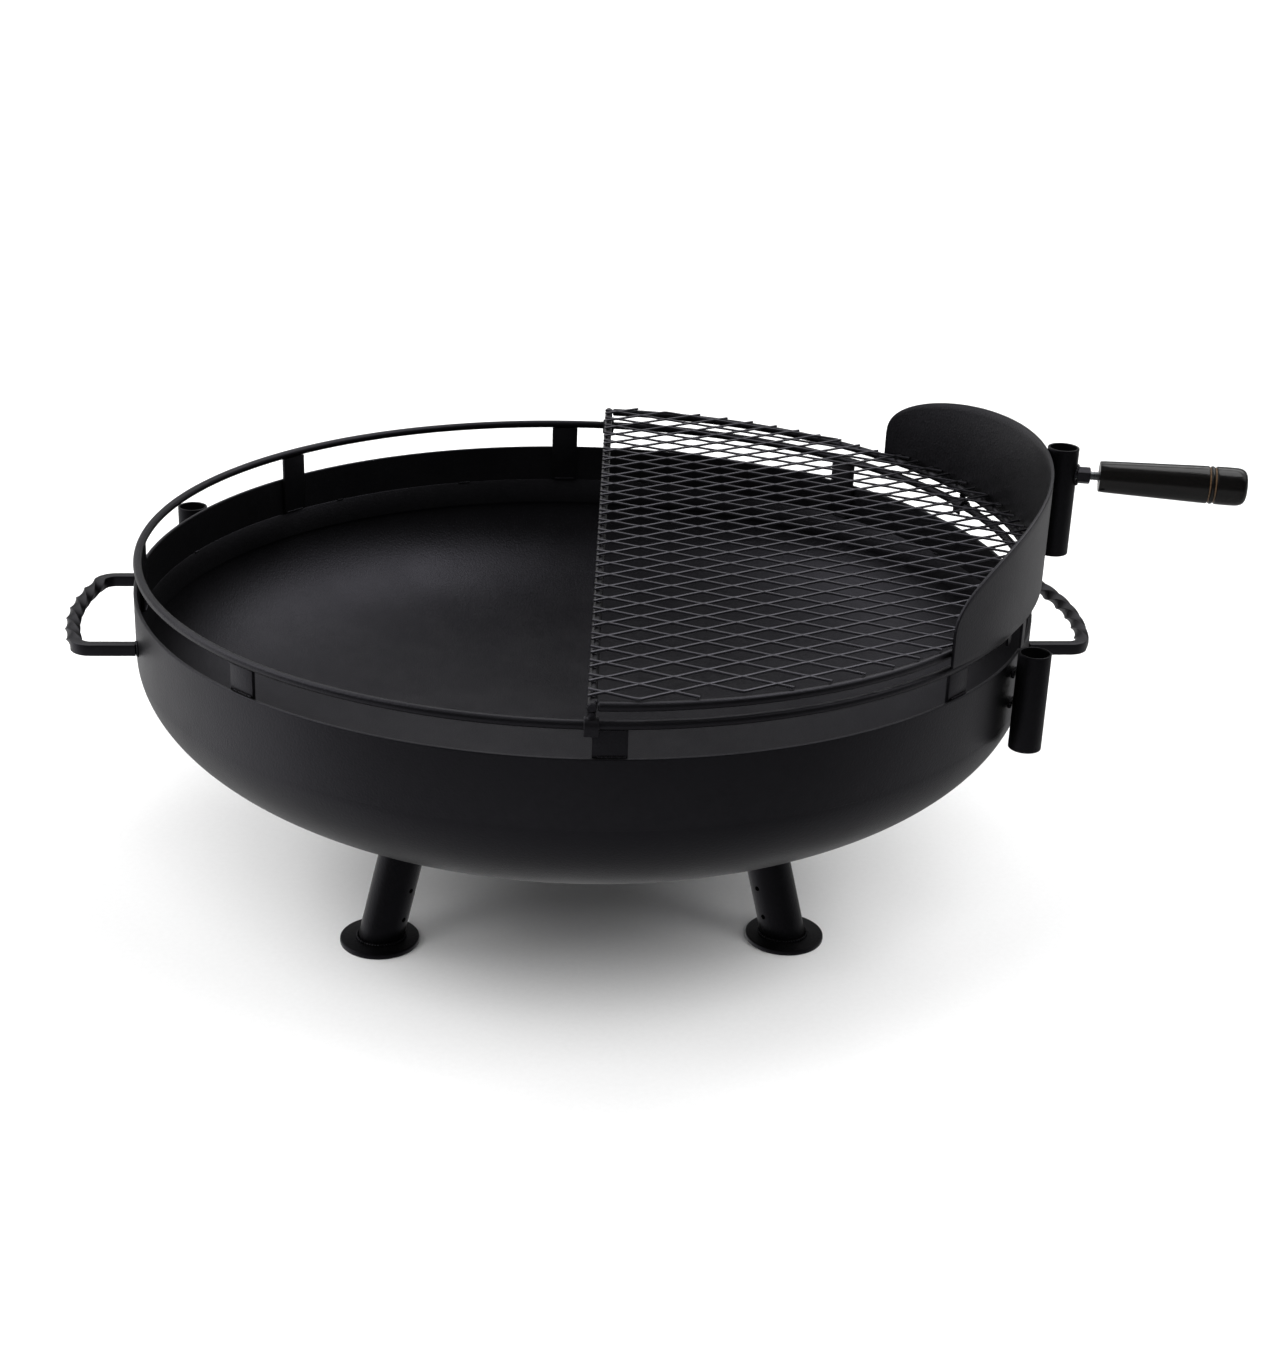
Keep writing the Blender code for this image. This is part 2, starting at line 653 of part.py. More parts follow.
clear_scene()
parts = make_collection(COLLECTION_NAME)
cutters = make_collection(COLLECTION_NAME + "_cutters")
seam_z = RIM_Z - BAND_HEIGHT
bowl_axis = make_empty("bowl_axis", BOWL_CENTRE)
grill_axis = make_empty("grill_axis", BOWL_CENTRE, GRILL_TURN)
make_bowl(bowl_axis)
make_rail(bowl_axis)
make_handles(bowl_axis)
make_sockets(bowl_axis)
make_legs(bowl_axis)
make_grill(grill_axis)
make_saddles(grill_axis)
make_guard(grill_axis)
make_clamp(grill_axis)
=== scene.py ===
"""Looks of the fire bowl with the half-moon grill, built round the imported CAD. Metres, +Z up, CAD frame."""

import math
import random

import bmesh
import bpy
from mathutils import Matrix, Vector, noise


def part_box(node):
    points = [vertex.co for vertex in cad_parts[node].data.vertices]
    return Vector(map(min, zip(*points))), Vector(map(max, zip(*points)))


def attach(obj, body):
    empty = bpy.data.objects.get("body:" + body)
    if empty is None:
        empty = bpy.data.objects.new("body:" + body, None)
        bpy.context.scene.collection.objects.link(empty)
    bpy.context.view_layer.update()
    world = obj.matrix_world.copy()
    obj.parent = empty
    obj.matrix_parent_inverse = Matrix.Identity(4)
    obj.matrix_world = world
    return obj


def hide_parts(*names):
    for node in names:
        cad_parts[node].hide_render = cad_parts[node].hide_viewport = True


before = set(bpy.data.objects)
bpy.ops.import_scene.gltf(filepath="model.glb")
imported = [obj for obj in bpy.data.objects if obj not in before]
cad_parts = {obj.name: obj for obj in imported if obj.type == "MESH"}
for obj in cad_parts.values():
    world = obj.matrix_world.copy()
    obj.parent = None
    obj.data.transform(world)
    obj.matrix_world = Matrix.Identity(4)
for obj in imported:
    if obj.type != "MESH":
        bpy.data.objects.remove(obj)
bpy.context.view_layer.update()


def span(node):
    """Size of a CAD node's box."""
    low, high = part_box(node)
    return high - low


def middle(node):
    """Centre of a CAD node's box."""
    low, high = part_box(node)
    return (low + high) / 2


GAP = 0.0003
MERGE = 0.000002

# Bowl
BOWL_RADIUS = span("rim_band").x / 2
BOWL = Vector((middle("rim_band").x, middle("rim_band").y, 0.0))
RIM_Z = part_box("rim_band")[1].z
SEAM_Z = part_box("rim_band")[0].z
BAND_WALL = 0.003
DISH_WALL = 0.0025
DISH_DEPTH = SEAM_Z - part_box("bowl_dish")[0].z
DISH_SIDE_POWER = 0.65
DISH_CROWN_POWER = 1.1
LAP_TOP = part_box("bowl_dish")[1].z
BOWL_STEPS = 288
BAND_EDGE = 0.0011
DISH_EDGE_INSET = 0.0001  # the dish's outer edge, inside the band's face
DISH_WOBBLE = 0.0002  # height of the pressed sheet's slow waves
LAP_LAND = 0.0001
LAP_CHAMFER = 0.0003
LAP_TACKS = 14  # short welds along the dish's upper edge, inside the band
LAP_TACK_HALF = (0.003, 0.006)  # shortest and longest
LAP_TACK_WELD = (0.0008, 0.0012)  # thinnest and thickest
SEAM_BEAD = 0.0007
SEAM_BEAD_INSET = 0.0008
SEAM_BEAD_STEPS = 720
SEAM_RIPPLE = 0.00003

# Rail ring and tabs
RAIL_ROD = span("rail_ring").z / 2
RAIL_RADIUS = span("rail_ring").x / 2 - RAIL_ROD
RAIL_Z = middle("rail_ring").z
RAIL_WOBBLE = 0.00025
ROD_STEPS = 20
TAB_ANGLES = (0.0, 44.3, 89.9, 135.2, 180.0, -135.9, -90.9, -45.0)
TAB_WIDTH = 0.0254
TAB_THICK = 0.003
TAB_BOTTOM_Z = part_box("rail_tab_1")[0].z
TAB_TOP_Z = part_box("rail_tab_1")[1].z
TAB_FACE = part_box("rail_tab_1")[1].x - BOWL.x  # outer face, from the bowl's axis
TAB_EDGE = 0.0005
TAB_WELD_INSET = 0.002

# Carry handles
BAR_SIDE = 0.0095
HANDLE_Z = middle("carry_handle_left").z
HANDLE_HALF_WIDTH = 0.0817
HANDLE_REACH = 0.4337
HANDLE_BOW = 0.25
HANDLE_CORNER = 0.014
HANDLE_CORNER_STEPS = 10
TWIST_STEPS = 160
HANDLE_END = 0.004  # length that stays straight at the band
BAR_EDGE = 0.0006
BAR_END_EDGE = 0.0004
QUARTER_TWISTS = 6
HANDLE_ANGLES = {"right": 0.9, "left": 180.4}

# Sockets and sleeve
TUBE_RADIUS = span("clamp_sleeve").x / 2
TUBE_WALL = 0.002
TUBE_EDGE = 0.0007
TUBE_STEPS = 72
SOCKET_ANGLES = {"front": -30.0, "back": 153.0}
SPACER_DEPTH = 0.0025
SPACER_WIDTH = 0.012
SPACER_EDGE = 0.0004
SPACER_WELD_Y = 0.0058

# Legs
LEG_ANGLES = (-150.0, -30.0, 90.0)
LEG_RADIUS = 0.0193
LEG_WALL = 0.002
LEG_LEAN = math.radians(15.6)
LEG_STEPS = 96
LEG_ROWS = 8
LEG_EDGE = 0.0004
FOOT_CENTRE = 0.204
FOOT_RADIUS = 0.0342
FOOT_THICK = span("foot_disc_1").z
FOOT_EDGE = 0.0014
FOOT_STEPS = 96
LEG_HOLE_RADIUS = 0.0023
HOLE_CUT_DEPTH = 0.012
HOLE_SHARP = math.radians(40)
LEG_HOLE_HEIGHTS = (0.0265, 0.0525)
LEG_HOLE_SIDES = (-110.0, 110.0)

# Grill
GRILL_TURN = math.radians(-4.9)
FRAME_ROD = span("grill_straight_rod").z / 2
FRAME_Z = middle("grill_straight_rod").z
STRAIGHT_X = 0.0127
STRAIGHT_REACH = math.sqrt((RAIL_RADIUS + FRAME_ROD) ** 2 - STRAIGHT_X**2)
ARC_END_X = 0.0169
PANEL_RADIUS = 0.3757
PANEL_EDGE_X = 0.0095
PANEL_LONG = 0.049
PANEL_SHORT = 0.02675
PANEL_SHEAR = 0.1  # how far a row climbs along the grill's X axis
PANEL_START_X = 0.0209  # centre of one opening
PANEL_START_Y = -0.0011
PANEL_TO_GUARD = math.radians(42.5)
STRAND_WIDTH = 0.0023
STRAND_THICK = 0.0019
STRAND_EDGE = 0.0003
STRAND_STEPS = 26  # stations in the length of one opening
STRAND_RISE = 0.0002  # each strand climbs to one bond and dips to the next
STRAND_LEAN = math.radians(5.0)
STRAND_WAIST = 0.07  # share by which a strand is thinner between its bonds
STRAND_CURVE = 0.08  # 0 for a straight zigzag, 1 for a smooth wave
BOND_STEP = 0.0017  # between the centrelines of two strands where they join
BOND_LENGTH = 0.0012
SADDLE_WIDTH = 0.0106
SADDLE_GAP = 0.0043
SADDLE_STRAP = 0.002
SADDLE_NECK = 0.003
SADDLE_ARCH_Z = -0.0004  # centre of the arch, from the rail's axis
SADDLE_EDGE = 0.0004
SADDLES = ((-88.07, -0.007), (-22.5, -0.0205), (24.0, -0.007), (88.07, -0.007))

# Wind guard
GUARD_RADIUS = 0.3833
GUARD_THICK = 0.0025
GUARD_HALF_LENGTH = 0.2896
GUARD_BOTTOM_Z = RAIL_Z + 0.008
GUARD_SHOULDER_Z = RAIL_Z + 0.0344
GUARD_TOP_Z = RAIL_Z + 0.1021
GUARD_TOP_POWER = 0.86
GUARD_TOP_STEPS = 70
GUARD_ROWS = 12
GUARD_EDGE = 0.00045
GUARD_WELD_ANGLES = (-41.0, -20.0, 2.0, 21.0, 41.0)
GUARD_WELD_Z = 0.0052
GUARD_TURN = math.radians(-0.4)
GUARD_TILT = math.radians(0.35)

# Clamp
SLEEVE_RADIUS = GUARD_RADIUS + GUARD_THICK + GAP + TUBE_RADIUS
SLEEVE_LENGTH = span("clamp_sleeve").z
SLEEVE_TOP_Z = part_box("clamp_sleeve")[1].z
SLEEVE_WELD_Y = 0.0061
SLEEVE_WELD_DROP = 0.012
SLEEVE_WELD_LENGTH = 0.07
CLAMP_Z = middle("clamp_stud").z
CLAMP_TURN = math.radians(-8.1)
NUT_FLATS = 0.013
NUT_LENGTH = 0.011
NUT_STEPS = 96
NUT_CORNER_CUT = 0.0002
NUT_CHAMFER = 0.0005
NUT_FACE_INSET = 0.0010
BORE_MOUTH = 0.0006  # chamfer where the stud enters
STUD_RADIUS = span("clamp_stud").z / 2
STUD_TIP = 0.011
THREAD_PITCH = 0.00125
THREAD_DEPTH = 0.00075
THREAD_CREST_INSET = 0.00002
THREAD_STEPS = 30
THREAD_CREST = (0.30, 0.42, 0.72)  # shares of a pitch: crest starts, crest ends, root starts
GRIP_START = 0.032
GRIP_LENGTH = 0.122
GRIP_BORE_DEPTH = 0.026
GRIP_STEPS = 96

# How far a weld bead's centreline lies from the face or edge that it follows
BEAD_CLOSE = 0.0002
BEAD_OFF = 0.0004
BEAD_PROUD = 0.0006

# Radii of the weld beads
TAB_WELD = 0.0011
TAB_SMALL_WELD = 0.0009
HANDLE_WELD = 0.0011
SPACER_WELD = 0.0015
LEG_FOOT_WELD = 0.0016
LEG_TOP_WELD = 0.0018
ROD_WELD = 0.0017
STRAND_WELD = 0.0010
GUARD_WELD = 0.0015
SLEEVE_WELD = 0.0017
NUT_WELD = 0.0013

GRILL = Matrix.Translation(BOWL) @ Matrix.Rotation(GRILL_TURN, 4, "Z")
CLAMP = GRILL @ Matrix.Translation((SLEEVE_RADIUS, 0, CLAMP_Z)) @ Matrix.Rotation(CLAMP_TURN, 4, "Z")

# Camera
CAMERA_FROM_BOWL = Vector((-0.12187, -1.74286, 0.93681))
CAMERA_YAW = math.radians(5.645)
CAMERA_PITCH = math.radians(22.624)
CAMERA_ROLL = math.radians(2.303)
CAMERA_LENS = 57.33
CAMERA_SENSOR = 36.0


# ---- shapes


def about_bowl(angle):
    """The frame whose X axis points outwards from the bowl's axis at an angle in degrees."""
    return Matrix.Translation(BOWL) @ Matrix.Rotation(math.radians(angle), 4, "Z")


class Shape:
    """Vertices and faces of one piece, gathered run by run."""

    def __init__(self):
        self.points = []
        self.faces = []

    def rings(self, rings, loop=False, cap=True, around=True):
        """Joins rings of equal length with quads."""
        first = len(self.points)
        count = len(rings[0])
        for ring in rings:
            self.points.extend(Vector(p) for p in ring)
        last = len(rings) if loop else len(rings) - 1
        for i in range(last):
            a = first + i * count
            b = first + (i + 1) % len(rings) * count
            for j in range(count if around else count - 1):
                k = (j + 1) % count
                self.faces.append((a + j, a + k, b + k, b + j))
        if cap and not loop:
            end = first + (len(rings) - 1) * count
            self.faces.append(tuple(first + j for j in reversed(range(count))))
            self.faces.append(tuple(end + j for j in range(count)))
        return self

    def add(self, other, matrix=None):
        first = len(self.points)
        self.points.extend(matrix @ p if matrix else p for p in other.points)
        self.faces.extend(tuple(first + i for i in face) for face in other.faces)
        return self

    def moved(self, matrix):
        self.points = [matrix @ p for p in self.points]
        return self


def fillet(corner, before, after, radius, steps):
    """Points that round one corner of an outline."""
    a = (before - corner).normalized()
    b = (after - corner).normalized()
    angle = a.angle(b, math.pi)
    if angle > math.radians(170) or radius <= 0:
        return [corner]
    reach = radius / math.tan(angle / 2)
    limit = 0.48 * min((before - corner).length, (after - corner).length)
    if reach > limit:
        radius *= limit / reach
        reach = limit
    centre = corner + (a + b).normalized() * (radius / math.sin(angle / 2))
    start = corner + a * reach - centre
    end = corner + b * reach - centre
    turn = start.angle_signed(end)
    return [centre + Matrix.Rotation(-turn * i / steps, 2) @ start for i in range(steps + 1)]


def rounded(outline, radius, steps=4, closed=True):
    """An outline with its corners rounded; an open one keeps its two ends."""
    points = [Vector(p) for p in outline]
    count = len(points)
    result = []
    for i, point in enumerate(points):
        if not closed and i in (0, count - 1):
            result.append(point)
        else:
            result.extend(fillet(point, points[i - 1], points[(i + 1) % count], radius, steps))
    return result


def lathe(profile, steps, closed=True, wobble=0.0):
    """A profile of radius and height turned about Z."""
    rings = []
    for i in range(steps):
        angle = 2 * math.pi * i / steps
        c, s = math.cos(angle), math.sin(angle)
        ring = []
        for r, z in profile:
            push = 0.0
            if wobble and r > 0:
                push = wobble * noise.noise(Vector((c * r * 9, s * r * 9, z * 9)))
            ring.append(((r + push) * c, (r + push) * s, z))
        rings.append(ring)
    return Shape().rings(rings, loop=True, around=closed)


def circle(radius, steps):
    """An outline of a circle."""
    return [Vector((radius * math.cos(a), radius * math.sin(a))) for a in turns(steps)]


def polar(radius, angle, z=0.0):
    """A point at a distance from Z and an angle round it."""
    return Vector((radius * math.cos(angle), radius * math.sin(angle), z))


def turns(steps):
    """Angles at even steps round a full turn."""
    return [2 * math.pi * i / steps for i in range(steps)]


def rectangle(width, height, radius, steps):
    """An outline of a rectangle with rounded corners."""
    x, y = width / 2, height / 2
    return rounded([(-x, -y), (x, -y), (x, y), (-x, y)], radius, steps)


def sweep(path, section, up=(0, 0, 1), twist=None, scale=None, loop=False):
    """A section carried along a path. Its first axis lies across the path and its second along up."""
    path = [Vector(p) for p in path]
    count = len(path)
    rings = []
    for i, point in enumerate(path):
        before = path[i - 1] if i or loop else point
        after = path[(i + 1) % count] if i < count - 1 or loop else point
        along = (after - before).normalized()
        side = along.cross(Vector(up)).normalized()
        top = side.cross(along)
        angle = twist[i] if twist else 0.0
        size = scale[i] if scale else 1.0
        c, s = math.cos(angle) * size, math.sin(angle) * size
        rings.append([point + side * (x * c - y * s) + top * (x * s + y * c) for x, y in section])
    return Shape().rings(rings, loop=loop)


def weld(path, radius, seed, up=(0, 0, 1), loop=False):
    """A weld bead with overlapping ripples, thinner at its ends."""
    pick = random.Random(seed)
    fine = resampled(path, radius * 0.32, loop)
    count = len(fine)
    scale = []
    for i in range(count):
        ripple = 0.88 + 0.16 * math.sin(i * 1.35) + pick.uniform(-0.05, 0.05)
        end = 1.0 if loop else min(1.0, 0.35 + 0.4 * min(i, count - 1 - i))
        scale.append(ripple * end)
    return sweep(fine, circle(radius, 10), up, scale=scale, loop=loop)


def resampled(path, step, loop=False):
    """Points at even distances along a path."""
    path = [Vector(p) for p in path]
    if loop:
        path.append(path[0])
    lengths = [(b - a).length for a, b in zip(path, path[1:])]
    total = sum(lengths)
    count = max(4, int(total / step))
    result, leg, passed = [], 0, 0.0
    for i in range(count if loop else count + 1):
        goal = total * i / count
        while leg < len(lengths) - 1 and passed + lengths[leg] < goal:
            passed += lengths[leg]
            leg += 1
        share = (goal - passed) / lengths[leg]
        result.append(path[leg].lerp(path[leg + 1], min(1.0, share)))
    return result


def block(size, radius):
    """A box with rounded edges, centred on its origin."""
    bm = bmesh.new()
    bmesh.ops.create_cube(bm, size=1.0)
    bmesh.ops.scale(bm, vec=size, verts=bm.verts)
    bmesh.ops.bevel(bm, geom=bm.edges, offset=radius, segments=2, profile=0.5, affect="EDGES")
    return taken(bm)


def taken(bm):
    """The shape held in a bmesh, which is then freed."""
    shape = Shape()
    bm.verts.index_update()
    shape.points = [v.co.copy() for v in bm.verts]
    shape.faces = [tuple(v.index for v in f.verts) for f in bm.faces]
    bm.free()
    return shape


def softened(shape, width, steps=2, angle=50.0):
    """A shape with its sharp edges bevelled round."""
    bm = filled(shape)
    limit = math.radians(angle)
    sharp = [e for e in bm.edges if len(e.link_faces) == 2 and e.calc_face_angle(0.0) > limit]
    bmesh.ops.bevel(bm, geom=sharp, offset=width, segments=steps, profile=0.5, affect="EDGES")
    return taken(bm)


def filled(shape):
    """A bmesh of a shape, its doubled points merged and its faces turned outwards."""
    bm = bmesh.new()
    verts = [bm.verts.new(p) for p in shape.points]
    for face in shape.faces:
        if len(set(face)) == len(face):
            bm.faces.new([verts[i] for i in face])
    bmesh.ops.remove_doubles(bm, verts=bm.verts, dist=MERGE)
    bmesh.ops.recalc_face_normals(bm, faces=bm.faces)
    return bm


def plate(outline, thickness, edge, steps):
    """A flat plate of an outline in XY, its edges rounded."""
    low = [(x, y, -thickness / 2) for x, y in outline]
    high = [(x, y, thickness / 2) for x, y in outline]
    return softened(Shape().rings([low, high]), edge, steps, 60.0)


def piece(name, shape, materials, body, nodes=(), smooth=40.0):
    """Makes one shown object that rides on a body and stands for CAD nodes."""
    bm = filled(shape)
    mesh = bpy.data.meshes.new(name)
    bm.to_mesh(mesh)
    bm.free()
    for material in materials if isinstance(materials, list) else [materials]:
        mesh.materials.append(material)
    mesh.shade_smooth()
    mesh.set_sharp_from_angle(angle=math.radians(smooth))
    obj = bpy.data.objects.new(name, mesh)
    bpy.context.scene.collection.objects.link(obj)
    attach(obj, body)
    if nodes:
        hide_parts(*nodes)
    return obj


# ---- materials


def mapped(tree, source, low, high, start, end):
    """A number mapped from one range to another, held at its ends."""
    node = tree.nodes.new("ShaderNodeMapRange")
    for name, value in zip(("From Min", "From Max", "To Min", "To Max"), (low, high, start, end)):
        node.inputs[name].default_value = value
    tree.links.new(source, node.inputs["Value"])
    return node.outputs["Result"]


class Nodes:
    """Short calls for building one material's node tree.

    Noise takes its scale, detail and roughness. Ramp takes the range read and the range given.
    """

    def __init__(self, name):
        self.material = bpy.data.materials.new(name)
        self.material.use_nodes = True
        self.tree = self.material.node_tree
        self.shader = self.tree.nodes["Principled BSDF"]
        self.where = self.new("ShaderNodeTexCoord").outputs["Object"]

    def new(self, kind, **values):
        node = self.tree.nodes.new(kind)
        for key, value in values.items():
            setattr(node, key, value)
        return node

    def link(self, source, target):
        self.tree.links.new(source, target)

    def noise(self, scale, detail, rough, stretch=None):
        node = self.new("ShaderNodeTexNoise")
        node.inputs["Scale"].default_value = scale
        node.inputs["Detail"].default_value = detail
        node.inputs["Roughness"].default_value = rough
        source = self.where
        if stretch:
            mapping = self.new("ShaderNodeMapping")
            mapping.inputs["Scale"].default_value = stretch
            self.link(source, mapping.inputs["Vector"])
            source = mapping.outputs["Vector"]
        self.link(source, node.inputs["Vector"])
        return node.outputs["Fac"]

    def ramp(self, source, low, high, start=0.0, end=1.0):
        return mapped(self.tree, source, low, high, start, end)

    def blend(self, share, first, second):
        """A colour between two, each a colour or another node's output."""
        node = self.new("ShaderNodeMix", data_type="RGBA")
        self.link(share, node.inputs["Factor"])
        for value, name in ((first, "A"), (second, "B")):
            socket = [s for s in node.inputs if s.name == name and s.type == "RGBA"][0]
            if isinstance(value, tuple):
                socket.default_value = (*value, 1.0)
            else:
                self.link(value, socket)
        return [s for s in node.outputs if s.type == "RGBA"][0]

    def product(self, first, second):
        node = self.new("ShaderNodeMath", operation="MULTIPLY")
        self.link(first, node.inputs[0])
        self.link(second, node.inputs[1])
        return node.outputs["Value"]

    def bump(self, height, distance, strength=1.0, normal=None):
        node = self.new("ShaderNodeBump")
        node.inputs["Distance"].default_value = distance
        node.inputs["Strength"].default_value = strength
        self.link(height, node.inputs["Height"])
        if normal:
            self.link(normal, node.inputs["Normal"])
        return node.outputs["Normal"]

    def geometry(self, output):
        return self.new("ShaderNodeNewGeometry").outputs[output]

    def finish(self, colour, roughness, normal, **sockets):
        self.link(colour, self.shader.inputs["Base Color"])
        self.link(roughness, self.shader.inputs["Roughness"])
        self.link(normal, self.shader.inputs["Normal"])
        for name, value in sockets.items():
            self.shader.inputs[name].default_value = value
        return self.material


def grey(value, tint=1.04):
    """A near-neutral grey, a little cool."""
    return (value, value * 0.985, value * tint)


def powder_coat(name, tone, roughness, worn=0.5, specular=0.5, ior=1.5):
    """Satin black powder coat: orange peel, faint mottling, dust where it faces up, paler on hard edges."""
    n = Nodes(name)
    mottle = n.noise(11.0, 5.0, 0.6)
    grain = n.noise(1600.0, 2.0, 0.6)
    base = n.blend(n.ramp(mottle, 0.32, 0.7), grey(tone * 0.7), grey(tone * 1.35))
    speck = n.ramp(grain, 0.60, 0.74, 0.0, 0.5)
    base = n.blend(speck, base, grey(tone * 3.2))
    up = n.new("ShaderNodeSeparateXYZ")
    n.link(n.geometry("Normal"), up.inputs[0])
    smudge = n.ramp(n.noise(26.0, 6.0, 0.7), 0.42, 0.75)
    dust = n.product(n.ramp(up.outputs["Z"], 0.55, 1.0, 0.0, 0.16), smudge)
    base = n.blend(dust, base, grey(0.03, 0.98))
    edge = n.ramp(n.geometry("Pointiness"), 0.53, 0.62, 0.0, worn)
    chips = n.product(edge, n.ramp(n.noise(140.0, 4.0, 0.65), 0.35, 0.65, 0.25, 1.0))
    base = n.blend(chips, base, grey(tone * 5.0))
    rough = n.ramp(mottle, 0.25, 0.75, roughness - 0.05, roughness + 0.06)
    ripple = n.bump(n.noise(17.0, 2.0, 0.5), 0.0006, 0.5)
    normal = n.bump(n.noise(520.0, 3.0, 0.55), 0.00022, 1.0, ripple)
    normal = n.bump(grain, 0.00006, 1.0, normal)
    n.shader.inputs["IOR"].default_value = ior
    n.shader.inputs["Specular IOR Level"].default_value = specular
    n.shader.inputs["Specular Tint"].default_value = (1.0, 0.97, 1.14, 1.0)
    return n.finish(base, rough, normal)


def zinc():
    """Bright zinc on cut threads: a fine grain in its roughness and bump, with grey spots."""
    n = Nodes("zinc_plate")
    fine = n.noise(900.0, 3.0, 0.6)
    spots = n.ramp(n.noise(240.0, 4.0, 0.7), 0.5, 0.7)
    base = n.blend(spots, (0.46, 0.48, 0.50), (0.20, 0.21, 0.22))
    rough = n.ramp(fine, 0.3, 0.7, 0.2, 0.42)
    return n.finish(base, rough, n.bump(fine, 0.00003), Metallic=1.0)


def lacquer():
    """Glossy black lacquer over turned wood: the grain shows faintly through it."""
    n = Nodes("black_lacquer")
    grain = n.noise(60.0, 6.0, 0.65, stretch=(1.0, 14.0, 14.0))
    base = n.blend(n.ramp(grain, 0.35, 0.7), (0.0007, 0.0007, 0.0007), (0.0026, 0.0021, 0.0019))
    waves = n.noise(35.0, 2.0, 0.5)
    normal = n.bump(grain, 0.00012, 0.6, n.bump(waves, 0.0003, 0.25))
    rough = n.ramp(n.noise(90.0, 4.0, 0.6), 0.3, 0.7, 0.05, 0.11)
    material = n.finish(base, rough, normal)
    n.shader.inputs["Specular IOR Level"].default_value = 0.65
    return material


def bare_wood():
    """Beech bared by the lathe at the bottom of the grooves, browned by the finish."""
    n = Nodes("bare_wood")
    rings = n.noise(85.0, 5.0, 0.6, stretch=(1.0, 9.0, 9.0))
    base = n.blend(n.ramp(rings, 0.3, 0.7), (0.13, 0.075, 0.036), (0.035, 0.019, 0.010))
    rough = n.ramp(rings, 0.3, 0.7, 0.55, 0.72)
    return n.finish(base, rough, n.bump(rings, 0.00015))


def floor_sheet():
    """Seamless white studio paper."""
    n = Nodes("studio_paper")
    fibre = n.noise(220.0, 3.0, 0.6)
    base = n.blend(n.ramp(fibre, 0.3, 0.7), (0.905, 0.905, 0.905), (0.93, 0.93, 0.93))
    rough = n.ramp(fibre, 0.3, 0.7, 0.85, 0.95)
    n.shader.inputs["Specular IOR Level"].default_value = 0.1
    return n.finish(base, rough, n.bump(fibre, 0.0001, 0.3))


# ---- bowl


def dish_point(turn, offset=0.0):
    """Radius and height on the dish's outer curve, or offset inwards along its normal."""
    radius = BOWL_RADIUS * math.cos(turn) ** DISH_SIDE_POWER
    height = SEAM_Z - DISH_DEPTH * math.sin(turn) ** DISH_CROWN_POWER
    if not offset:
        return radius, height
    step = 0.001
    r0, z0 = dish_point(max(turn - step, 0.0))
    r1, z1 = dish_point(min(turn + step, math.pi / 2))
    length = math.hypot(r1 - r0, z1 - z0)
    return max(radius + (z1 - z0) / length * offset, 0.0), height - (r1 - r0) / length * offset


def dish_line(offset, steps=56):
    rows = [dish_point(math.pi / 2 * i / steps, offset) for i in range(1, steps)]
    return rows + [(0.0, SEAM_Z - DISH_DEPTH + offset)]


def dish_height(radius):
    """Height of the dish's underside at a distance from its axis."""
    turn = math.acos((min(radius, BOWL_RADIUS) / BOWL_RADIUS) ** (1 / DISH_SIDE_POWER))
    return SEAM_Z - DISH_DEPTH * math.sin(turn) ** DISH_CROWN_POWER


def make_bowl(coat):
    inside = BOWL_RADIUS - BAND_WALL
    corners = [(BOWL_RADIUS, SEAM_Z), (BOWL_RADIUS, RIM_Z), (inside, RIM_Z), (inside, SEAM_Z)]
    band = rounded(corners, BAND_EDGE, closed=False)
    shape = lathe(band, BOWL_STEPS).moved(Matrix.Translation(BOWL))
    piece("rolled_band", shape, coat, "fire_bowl", ["rim_band"])

    lap = inside - GAP
    lip = lap - LAP_LAND
    inner = [(lap - DISH_WALL, SEAM_Z - DISH_WALL)]
    inner += [(lip - LAP_CHAMFER, LAP_TOP - LAP_CHAMFER), (lip, LAP_TOP)]
    outer = [(lap, LAP_TOP), (lap, SEAM_Z - GAP), (BOWL_RADIUS - DISH_EDGE_INSET, SEAM_Z - GAP)]
    profile = list(reversed(dish_line(DISH_WALL))) + inner + outer + dish_line(0.0)
    shape = lathe(profile, BOWL_STEPS, closed=False, wobble=DISH_WOBBLE).moved(Matrix.Translation(BOWL))
    piece("pressed_dish", shape, coat, "fire_bowl", ["bowl_dish"])

    pick = random.Random(7)
    ring = []
    for i, angle in enumerate(turns(SEAM_BEAD_STEPS)):
        ripple = SEAM_RIPPLE * math.sin(i * 2.1) + pick.uniform(-SEAM_RIPPLE, SEAM_RIPPLE)
        radius = BOWL_RADIUS - SEAM_BEAD_INSET + ripple
        ring.append(BOWL + polar(radius, angle, SEAM_Z - BEAD_CLOSE))
    piece("band_seam_weld", sweep(ring, circle(SEAM_BEAD, 12), loop=True), coat, "fire_bowl")

    tacks = Shape()
    radius = inside - BEAD_OFF
    for index in range(LAP_TACKS):
        angle = 360 / LAP_TACKS * index + pick.uniform(-6, 6)
        half = pick.uniform(*LAP_TACK_HALF)
        run = [(radius, half * (i / 3 - 1), LAP_TOP - BEAD_CLOSE) for i in range(7)]
        tacks.add(weld(run, pick.uniform(*LAP_TACK_WELD), index + 120), about_bowl(angle))
    piece("lap_tacks", tacks, coat, "fire_bowl")


